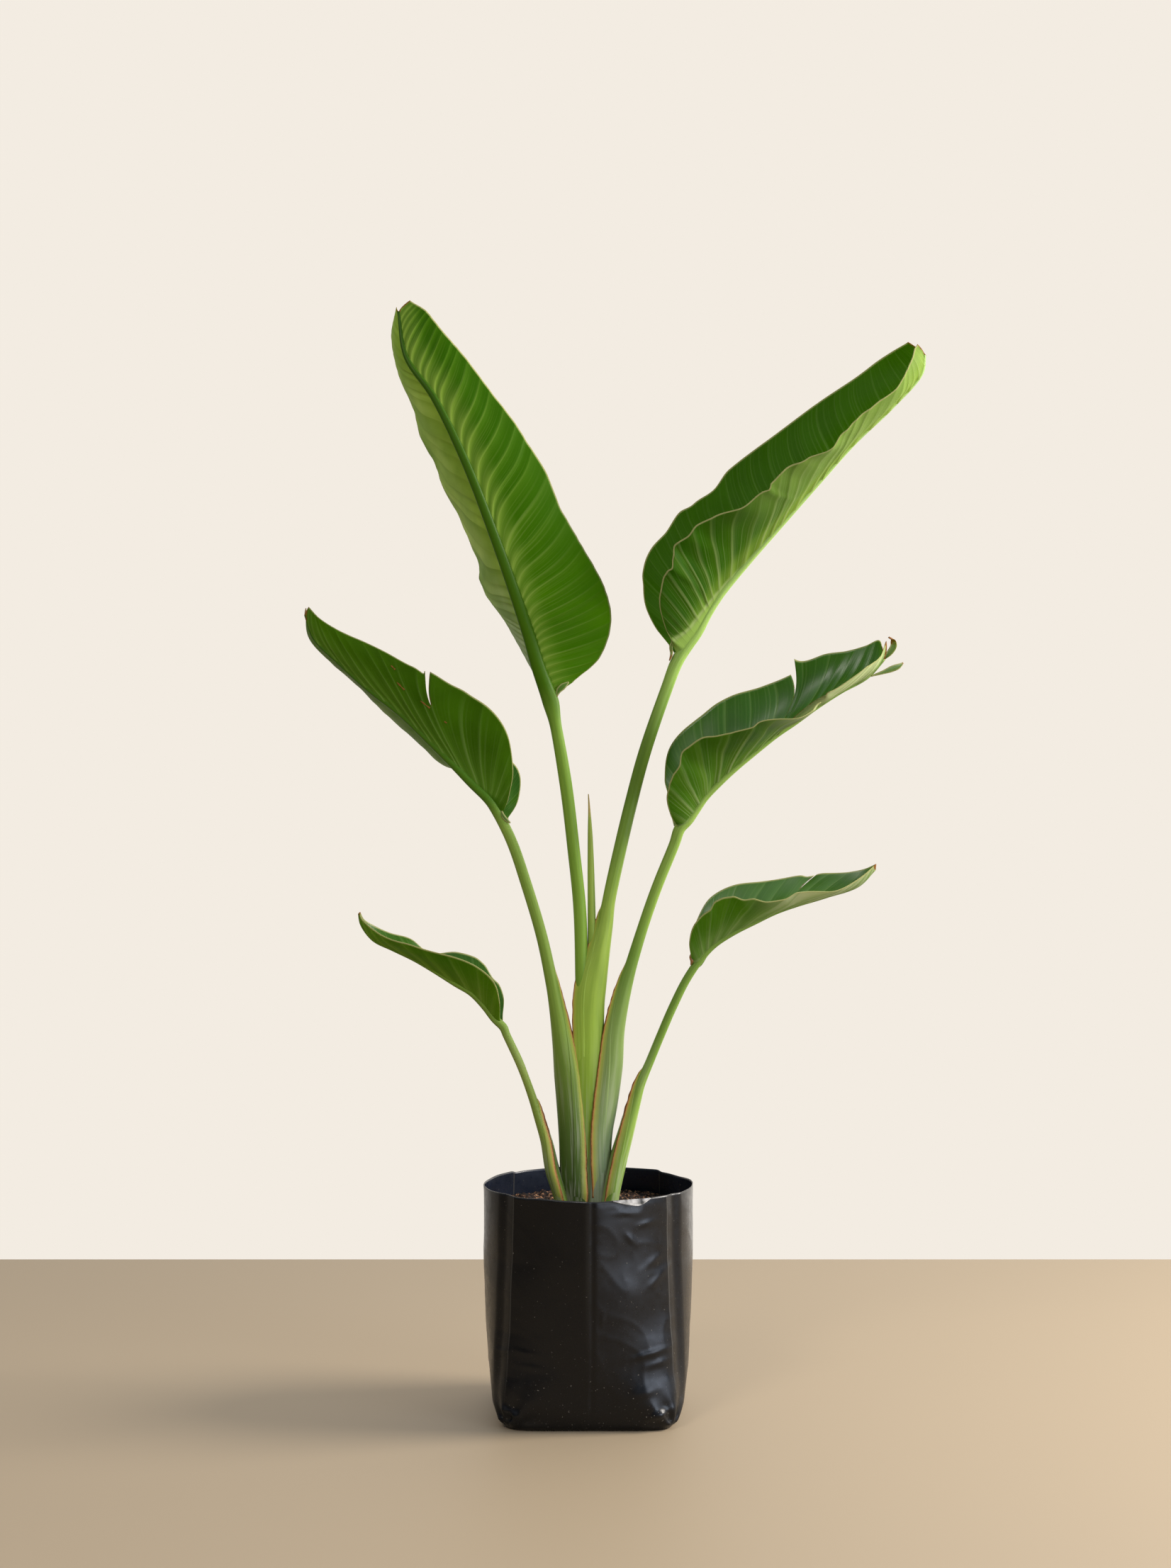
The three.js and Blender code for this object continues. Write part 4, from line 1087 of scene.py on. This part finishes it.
def risen(leaf, share, out):
    """How far up the blade a side vein has come, out from the midrib at 0 to a margin at 1 or -1."""
    return share + share * (1 - share) * rise(leaf, out)


def blade(name, leaf):
    """One leaf blade, split along its tears, with a soft pleat between its side veins."""
    rib, front, back, under = rails_of(leaf)
    places = vein_places(leaf, rib)
    count = len(places) - 1
    last_row = len(leaf["rows"]) - 1
    bm = new_grid(2 * HALF_COLUMNS, count * ROWS_PER_VEIN)
    keys = {key: bm.verts.layers.float.new(key) for key in LEAF_KEYS}
    for vert in bm.verts:
        vert[keys["side"]] = -2 * vert.co.x
        vert[keys["vein"]] = round((vert.co.y + 0.5) * count, 5)

    for tear in leaf["tears"]:
        sign = 1 if tear["half"] == "front" else -1
        torn = [
            edge for edge in bm.edges
            if all(
                abs(vert[keys["vein"]] - tear["vein"]) < 1e-3
                and sign * vert[keys["side"]] > tear["start"] - 1e-6
                for vert in edge.verts
            )
        ]
        bmesh.ops.split_edges(bm, edges=torn)

    @functools.lru_cache(maxsize=None)
    def share_at(number):
        low = min(int(number), count - 1)
        return blend(places[low], places[low + 1], number - low)

    under_at = functools.lru_cache(maxsize=None)(under)
    tip_side = {
        vert: all(face.calc_center_median().y > vert.co.y for face in vert.link_faces)
        for vert in bm.verts
    }
    for vert in bm.verts:
        out, number = vert[keys["side"]], vert[keys["vein"]]
        width = abs(out)
        arch = 4 * width * (1 - width)
        share = risen(leaf, share_at(number), out)
        for tear in leaf["tears"]:
            if (tear["half"] == "front") == (out > 0):
                share += tear["lean"] * arch * math.exp(-(((number - tear["vein"]) / LEAN_SPREAD) ** 2))
        sweep = VEIN_SWEEP / len(leaf["rows"]) * arch * 4 * share * (1 - share)
        share -= (1 - width) * sweep
        down = under_at(round(share, 4))
        root = rib(min(1.0, share + sweep))
        margin = front(share) if out > 0 else back(share)
        stand_out = Vector((margin.x - root.x, 0, margin.z - root.z)).normalized()
        stand_out *= between(leaf["waves"]["front" if out > 0 else "back"], share)
        span = (margin - root).length
        point = root.lerp(margin, width) + down * (BLADE_BULGE * span * arch)
        point += stand_out * width ** WAVE_DEPTH
        radius = rib_radius(leaf, share)
        band = leaf["band"] * max(0.0, 1 - share / BAND_END) ** BAND_TAPER + BAND_UNDER_RIB * radius
        cover = leaf["cover"] * radius * (RIB_LIFT * min(1.0, share / RIB_LIFT_RUN) + RIB_COVER)
        cover *= smooth(0.0, RIB_COVER_START, share)
        point += down * (cover * math.exp(-((width * span / (RIB_COVER_RUN * radius)) ** 2)))
        row = share * last_row
        dry = 0.0
        for tear in leaf["tears"]:
            on_half = (tear["half"] == "front") == (out > 0)
            at_tear = abs(number - tear["vein"]) < 1e-3
            if on_half and (number > tear["vein"] + 1e-3 or (at_tear and tip_side[vert])):
                near = max(0.0, 1 - (row - tear["row"]))
                opened = max(0.0, (width - tear["start"]) / (1 - tear["start"]))
                point += Vector(tear["shift"]) * (near * near * opened)
            if on_half and at_tear and width > tear["start"]:
                dry = TEAR_DRYNESS
        dry_start, dry_most = leaf["dry_tip"]
        dry = max(dry, dry_most * smooth(dry_start, 1.0, share))
        dry = max(dry, FOOT_DRYNESS * smooth(FOOT_DRY_RUN, 0.0, share))
        vert.co = point
        vert[keys["along"]] = share
        vert[keys["rib"]] = smooth(1.3, 0.7, width * span / band)
        vert[keys["reach"]] = width * span
        vert[keys["edge"]] = (1 - width) * span
        vert[keys["dry"]] = dry
    bm.normal_update()
    middle = min(
        bm.verts,
        key=lambda vert: abs(vert[keys["side"]] - 0.5) + abs(vert[keys["vein"]] - count / 2),
    )
    if middle.normal.dot(under(share_at(middle[keys["vein"]]))) < 0:
        bmesh.ops.reverse_faces(bm, faces=bm.faces)
        bm.normal_update()

    # Pleats and ripples, square to the sheet, lower where the veins crowd and where the blade is narrow
    draw = random.Random(leaf["slot"] + "pleats")
    heights = [
        [leaf["pleat"][half] * draw.uniform(*PLEAT_SPREAD) for _ in range(count + 1)]
        for half in ("back", "front")
    ]
    for vert in bm.verts:
        out, number = vert[keys["side"]], vert[keys["vein"]]
        width = abs(out)
        part = number - int(number)
        spread = min(1.0, 1 + (1 - 2 * share_at(number)) * rise(leaf, out))
        spread *= smooth(*PLEAT_ROOM, vert[keys["edge"]] + vert[keys["reach"]])
        height = heights[out > 0][int(number)] * spread * (1 - vert[keys["rib"]])
        pleat = -height * math.sin(math.pi * part ** 1.4) * (1 - 0.5 * width)
        wave = uneven(number * leaf["vein_gap"] / RIPPLE_LENGTH, out * 2, len(name))
        wave *= leaf["ripple"] * spread * width * width * (1.15 - width)
        vert.co += vert.normal * (pleat + wave)
    under_face = leaf_face(name + "_underside", UNDERSIDE | LOOKS[name]["under"])
    upper_face = leaf_face(name + "_upper_side", UPPER_SIDE | LOOKS[name]["upper"])
    piece = finish_piece(name + "_blade", bm, [under_face, upper_face], replaces=name)
    thicken(piece, BLADE_THICKNESS, materials=2)


def strips():
    """Torn strips, and scars laid on the sheet of the leaf that bears them."""
    pieces = dict(STRIPS)
    mesh = bpy.data.objects["leaf_mid_left_blade"].data
    sides = mesh.attributes["side"].data
    near = [vert.co / MM for vert in mesh.vertices if sides[vert.index].value > 0]
    for number, (x0, z0, x1, z1) in enumerate(SCARS):
        knots = []
        for share, half_width in SCAR_WIDTHS:
            x, z = blend(x0, x1, share), blend(z0, z1, share)
            y = min(near, key=lambda co: (co.x - x) ** 2 + (co.z - z) ** 2).y
            knots.append((x, y - SCAR_LIFT, z, half_width, SCAR_DRYNESS))
        pieces[f"mid_left_scar_{number}"] = ("leaf_mid_left", (z1 - z0, 0, x0 - x1), 0.0, knots)
    for name, (leaf, lean, curl, knots) in pieces.items():
        faces = [bpy.data.materials[leaf + end] for end in ("_underside", "_upper_side")]
        bm = ribbon(knots, lean, curl)
        thicken(finish_piece(name, bm, faces), STRIP_THICKNESS, materials=2)


def stem_path(leaf):
    """Rings along a stalk and its midrib, their length, and the share of it where the stalk ends."""
    rib, _, _, under = rails_of(leaf)
    last_row = len(leaf["rows"]) - 1
    places = [knot[:3] for knot in leaf["stalk"]]
    girths = [knot[3:] for knot in leaf["stalk"]]
    for row in range(leaf["neck"], last_row + 1):
        share = row / last_row
        radius = rib_radius(leaf, share)
        lift = RIB_LIFT * radius * min(1.0, share / RIB_LIFT_RUN)
        places.append(rib(share) + under(share) * lift)
        girths.append((radius * leaf["rib_width"], radius))
    length = sum((Vector(b) - Vector(a)).length for a, b in zip(places, places[1:]))
    base_share = (len(leaf["stalk"]) - 1) / (len(places) - 1)
    return round_path(places, girths), length, base_share


def round_path(places, girths):
    """Rings along a path: the middle and two half axes, one level and one square to it."""
    path = curve_through(places)
    girth = curve_through(girths)

    def rings(share):
        direction = Vector((0, 0, 1)) if share == 0 else tangent_of(path, share)
        across = Vector((0, 1, 0)).cross(direction).normalized()
        deep = direction.cross(across).normalized()
        half_width, half_depth = girth(share)
        return path(share), across * half_width, deep * half_depth

    return rings


def stem(name, leaf):
    """The stalk, from the rootstock up, and the midrib that carries it on to the leaf's tip."""
    rings, length, base_share = stem_path(leaf)
    facing = 0.0 if leaf["groove"] > 0 else math.pi

    def channel(turn, share):
        away = (turn - facing + math.pi) % (2 * math.pi) - math.pi
        depth = GROOVE_DEPTH * smooth(*GROOVE_OPENS, share / base_share)
        depth *= smooth(*GROOVE_CLOSES, share / base_share)
        return 1 - depth * math.exp(-((away / GROOVE_WIDTH) ** 2))

    bm = tube(rings, STEM_SIDES, round(length / STEM_STEP), length, channel)
    skin = stem_skin(name + "_stalk_skin", LOOKS[name]["stem"])
    finish_piece(name + "_stalk", bm, [skin])


def sheath_margins(name, leaf, side, foot, top, opened):
    """The thin dry margins of a sheath, one in front and one behind, laid along its stalk."""
    rings, _, base_share = stem_path(leaf)
    rings = functools.lru_cache(maxsize=None)(rings)
    shares = [base_share * i / SHEATH_STEPS for i in range(SHEATH_STEPS + 1)]
    low = min(shares, key=lambda share: abs(rings(share)[0].z - foot))
    high = min(shares, key=lambda share: abs(rings(share)[0].z - top))
    skin = stem_skin(name + "_sheath_margin", LOOKS[name]["stem"], margin=True)
    for place, facing in (("front", -1), ("back", 1)):
        bm = new_grid(*SHEATH_GRID)
        flat = {}
        for vert in bm.verts:
            inward, up = vert.co.x + 0.5, round(vert.co.y + 0.5, 6)
            middle, across, deep = rings(round(blend(low, high, up), 6))
            turn = facing * (opened * (1 - up) ** 0.8 + SHEATH_WRAP * inward * (1 - 0.7 * up ** 3))
            frill = SHEATH_FRILL * uneven(up * (top - foot) / SHEATH_FRILL_LENGTH, side, facing * 4)
            lip = (SHEATH_LIP + frill) * (1 - inward) ** 4 * smooth(1.0, 0.8, up)
            lip += SHEATH_LIFT * (1 - inward) - SHEATH_SINK * inward
            lip -= SHEATH_END_SINK * (smooth(0.93, 1.0, up) + smooth(0.08, 0.0, up))
            outward = across * (side * math.cos(turn)) + deep * math.sin(turn)
            vert.co = middle + outward + outward.normalized() * lip
            flat[vert] = (inward * across.length * SHEATH_WRAP, up * (top - foot))
        lay_skin(bm, flat)
        bmesh.ops.recalc_face_normals(bm, faces=bm.faces)
        piece = finish_piece(f"{name}_sheath_margin_{place}", bm, [skin])
        thicken(piece, SHEATH_THICKNESS)


def spear():
    """The youngest leaf, still rolled."""
    rings = round_path([knot[:3] for knot in SPEAR], [knot[3:] for knot in SPEAR])
    bm = tube(rings, *SPEAR_GRID, SPEAR[-1][2] - CROWN_TOP)
    skin = stem_skin("young_leaf_skin", SPEAR_TONES)
    finish_piece("spear_leaf_roll", bm, [skin], replaces="spear_leaf")


# Bag and potting mix


def bag_row(z):
    """Half width, half depth and power of the bag's section at a height."""
    top = next(i for i, row in enumerate(BAG_PROFILE) if row[0] >= z and i > 0)
    low, high = BAG_PROFILE[top - 1], BAG_PROFILE[top]
    share = (z - low[0]) / (high[0] - low[0])
    return [blend(a, b, share) for a, b in zip(low[1:], high[1:])]


def bag_reach(turn, z):
    """How far the smooth section reaches out from the middle at a turn and a height."""
    half_width, half_depth, power = bag_row(z)
    x, y = abs(math.cos(turn)) / half_width, abs(math.sin(turn)) / half_depth
    return (x ** power + y ** power) ** (-1 / power)


def flat_reach(turn):
    """The reach of the straight-sided section through the bag's corners."""
    turn %= 2 * math.pi
    angles = [math.atan2(y, x) % (2 * math.pi) for x, y in BAG_CORNERS]
    low = max((i for i, angle in enumerate(angles) if angle <= turn), default=len(angles) - 1)
    (x0, y0), (x1, y1) = BAG_CORNERS[low], BAG_CORNERS[(low + 1) % len(BAG_CORNERS)]
    return (x0 * (y1 - y0) - y0 * (x1 - x0)) / (math.cos(turn) * (y1 - y0) - math.sin(turn) * (x1 - x0))


def arc_from(turn, point):
    """How far round the bag a turn lies from a plan point, in mm."""
    away = (turn - math.atan2(point[1], point[0]) + math.pi) % (2 * math.pi) - math.pi
    return away * math.hypot(*point)


def bag_surface(turn, z):
    """A point of the filled bag, how rubbed its film is there with the painted sheen by the seam, and
    its way to the nearest crease.
    """
    seam = arc_from(turn, BAG_SEAM)
    reach = bag_reach(turn, z)
    flat = flat_reach(turn) * reach / bag_reach(turn, BAG_HEIGHT)
    flatness = blend(BAG_FLATNESS["round"], BAG_FLATNESS["front"], smooth(*BAG_FRONT_HALF, abs(seam)))
    reach = blend(reach, flat, flatness * smooth(15, 80, z))
    x, y = reach * math.cos(turn), reach * math.sin(turn)

    # Soft dents and crisp wrinkles, most of them right of the seam
    slack = 0.4 + 0.6 * smooth(-4, 12, seam) * smooth(118, 96, seam)
    dent = BAG_DENT * uneven(x / 46, y / 46, z / 40 + 5)
    ridge = max(0.0, 1 - 2.6 * abs(uneven(x / 44, y / 44, z / 30 + x / 45)))
    inside = smooth(0, 30, z) * smooth(BAG_HEIGHT, BAG_HEIGHT - 8, z)
    reach += slack * (dent + BAG_RIDGE * ridge ** 2) * inside
    swell = uneven(math.cos(turn) * 2.2, math.sin(turn) * 2.2, z / 70)
    reach += BAG_SWELL * swell * smooth(0, 40, z)
    if y < 0:
        for middle_x, middle_z, half_length, half_width, slope, height in BAG_WRINKLES:
            right, up = x - middle_x, z - middle_z
            lie = math.radians(slope)
            along = right * math.cos(lie) + up * math.sin(lie)
            aside = up * math.cos(lie) - right * math.sin(lie)
            reach += height * math.exp(-((along / half_length) ** 2) - (aside / half_width) ** 2)

    # Folds that run from the pinched corners of the base
    for ear in BAG_EARS:
        along = arc_from(turn, ear)
        away = math.hypot(along, z)
        fold = math.sin(EAR_FOLDS * math.atan2(z, along) + 1)
        fold *= math.exp(-((away / EAR_FOLD_REACH) ** 2))
        reach += EAR_FOLD_HEIGHT * fold * smooth(2, 16, away) * smooth(0, 6, z)

    # A shallow valley along the seam, with a painted sheen beside it; the film is rubbed on the rim
    from_crease = min((arc_from(turn, crease) for crease in BAG_CREASES), key=abs)
    reach -= SEAM_DEPTH * math.exp(-((seam / SEAM_WIDTH) ** 2)) * smooth(0, 40, z)
    rubbed_and_sheen = SEAM_SHEEN * math.exp(-(((seam + 4) / SEAM_WIDTH) ** 2)) * smooth(60, 220, z)
    rim = RIM_WAVE * uneven(math.cos(turn) * 3, math.sin(turn) * 3, 20)
    for crease in BAG_RIM_STEPS:
        away = arc_from(turn, crease)
        rim += RIM_STEP * math.tanh(away / 3) * math.exp(-((away / RIM_STEP_REACH) ** 2))
    z += rim * smooth(BAG_HEIGHT - 60, BAG_HEIGHT, z)
    rubbed_and_sheen = max(rubbed_and_sheen, RIM_RUBBED * smooth(BAG_HEIGHT - 1.5, BAG_HEIGHT, z))
    return (reach * math.cos(turn), reach * math.sin(turn), z), rubbed_and_sheen, from_crease


def bag():
    """The filled bag's film and the whitened fold on its rim."""
    bm = new_grid(BAG_SIDES, BAG_ROWS)
    rubbed_and_sheen, from_crease = (bm.verts.layers.float.new(key) for key in ("rubbed_and_sheen", "from_crease"))
    for vert in bm.verts:
        turn, z = (vert.co.x + 0.5) * 2 * math.pi, (vert.co.y + 0.5) * BAG_HEIGHT
        vert.co, vert[rubbed_and_sheen], vert[from_crease] = bag_surface(turn, z)
    bmesh.ops.remove_doubles(bm, verts=bm.verts, dist=1e-3)
    close_up(bm, [edge for edge in open_edges(bm) if edge.verts[0].co.z < 1])
    probe = max(bm.verts, key=lambda vert: vert.co.x)
    bm.normal_update()
    if probe.normal.x < 0:
        bmesh.ops.reverse_faces(bm, faces=bm.faces)
    outside = polythene("black_polythene_film", FILM_OUTSIDE)
    films = [outside, polythene("dusty_polythene_inside_sheen", FILM_INSIDE_DUST_AND_SHEEN)]
    piece = finish_piece("grow_bag_film", bm, films, replaces="grow_bag")
    thicken(piece, BAG_WALL, offset=-1.0, materials=2)
    fold = ribbon(RIM_FOLD, RIM_FOLD_LEAN, RIM_FOLD_CURL)
    piece = finish_piece("grow_bag_rim_fold", fold, [whitened_sheen_polythene()])
    thicken(piece, RIM_FOLD_THICKNESS)


def soil():
    """The lumpy top of the potting mix, with sides that go down inside the bag."""

    @functools.lru_cache(maxsize=None)
    def room(turn):
        places = (bag_surface(turn, z)[0] for z in SOIL_LEVELS)
        return min(math.hypot(x, y) for x, y, _ in places) - SOIL_GAP

    bm = new_grid(*SOIL_GRID)
    for vert in bm.verts:
        turn, share = (vert.co.x + 0.5) * 2 * math.pi, vert.co.y + 0.5
        reach = room(round(turn, 5)) * (1 - share)
        x, y = reach * math.cos(turn), reach * math.sin(turn)
        (lump, lump_length), (crumb, crumb_length) = SOIL_LUMPS, SOIL_CRUMBS
        bump = lump * uneven(x / lump_length, y / lump_length, 3)
        bump += crumb * uneven(x / crumb_length, y / crumb_length, 8)
        vert.co = (x, y, SOIL_HEIGHT + SOIL_HEAP * share + bump)
    bmesh.ops.remove_doubles(bm, verts=bm.verts, dist=1e-3)
    made = bmesh.ops.extrude_edge_only(bm, edges=open_edges(bm))
    for part in made["geom"]:
        if isinstance(part, bmesh.types.BMVert):
            part.co.z = SOIL_SKIRT
    close_up(bm, open_edges(bm))
    finish_piece("potting_mix_top", bm, [coir()], replaces="potting_mix")


# The scene itself


def stage_and_light():
    """The camera, the wall and its light, the floor and the lamps."""
    scene = bpy.context.scene
    scene.view_settings.view_transform = "Standard"
    camera = bpy.data.objects.new("camera", bpy.data.cameras.new("camera"))
    camera.location = CAMERA_PLACE
    camera.rotation_euler = (math.radians(90), 0, 0)
    camera.data.lens = CAMERA_LENS
    camera.data.sensor_width = CAMERA_SENSOR
    camera.data.clip_end = CAMERA_REACH
    scene.collection.objects.link(camera)
    scene.camera = camera

    # The wall is the world itself: the camera sees it plain, and the plant gets the light set above
    world = bpy.data.worlds.new("pale_wall")
    world.use_nodes = True
    world.node_tree.nodes.clear()
    add = functools.partial(node, world.node_tree)
    way = add("SeparateXYZ", {0: add("TexCoord").node.outputs["Generated"]}).node.outputs
    from_room = add("MapRange", {
        0: way["X"], 1: 0.0, 2: 0.7, 3: LIGHT_FROM_ROOM_LEFT, 4: LIGHT_FROM_ROOM_RIGHT,
    }, **SOFT)
    behind = add("MapRange", {0: way["Y"], 1: -0.35, 2: 0.7}, **SOFT)
    from_wall = add("MapRange", {
        0: way["X"], 1: -0.8, 2: 0.8, 3: LIGHT_FROM_WALL_LEFT, 4: LIGHT_FROM_WALL_RIGHT,
    })
    around = add("Mix", {0: behind, 1: from_room, 2: from_wall})
    from_above = add("MapRange", {0: way["Z"], 1: 0.1, 2: 1.0, 3: 0.0, 4: LIGHT_FROM_ABOVE})
    light = add("Math", {0: around, 1: from_above}, operation="MAXIMUM")
    seen = add("LightPath").node.outputs["Is Camera Ray"]
    strength = add("Mix", {0: seen, 1: light, 2: 1.0})
    tint = add("Math", {0: seen, 1: behind}, operation="MAXIMUM")
    tint = add("Mix", {0: tint, 1: colour(ROOM_COLOUR), 2: colour(WALL_COLOUR)}, **COLOURS)
    wall = add("Background", {"Color": tint, "Strength": strength})
    add("OutputWorld", {"Surface": wall})
    scene.world = world

    bm = bmesh.new()
    bmesh.ops.create_grid(bm, x_segments=1, y_segments=1, size=1.0)
    middle = (FLOOR_BACK + FLOOR_FRONT) / 2
    half_depth = (FLOOR_BACK - FLOOR_FRONT) / 2
    bmesh.ops.scale(bm, vec=(FLOOR_HALF_WIDTH, half_depth, 1), verts=bm.verts)
    bmesh.ops.translate(bm, vec=(0, middle, -FLOOR_DROP), verts=bm.verts)
    mesh = bpy.data.meshes.new("floor")
    bm.to_mesh(mesh)
    bm.free()
    floor = bpy.data.objects.new("floor", mesh)
    scene.collection.objects.link(floor)
    material, add = new_material("sealed_floor")
    skin = add("BsdfPrincipled", {"Base Color": colour(FLOOR_COLOUR), "Roughness": 0.6})
    add("OutputMaterial", {"Surface": skin})
    mesh.materials.append(material)

    for name, (place, width, power, tint) in LAMPS.items():
        light = bpy.data.lights.new(name, "AREA")
        light.shape = "DISK"
        light.size = width
        light.energy = power
        light.color = colour(tint)[:3]
        lamp = bpy.data.objects.new(name, light)
        lamp.location = place
        lamp.rotation_euler = (Vector(LIGHT_AIM) - Vector(place)).to_track_quat("-Z", "Y").to_euler()
        scene.collection.objects.link(lamp)


stage_and_light()
for leaf_name, leaf_data in LEAVES.items():
    blade(leaf_name, leaf_data)
    stem(leaf_name, leaf_data)
for leaf_name, margin_data in SHEATH_MARGINS.items():
    sheath_margins(leaf_name, LEAVES[leaf_name], *margin_data)
strips()
spear()
bag()
soil()

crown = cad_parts["root_crown"]
crown.data.materials.clear()
crown.data.materials.append(root_bark())
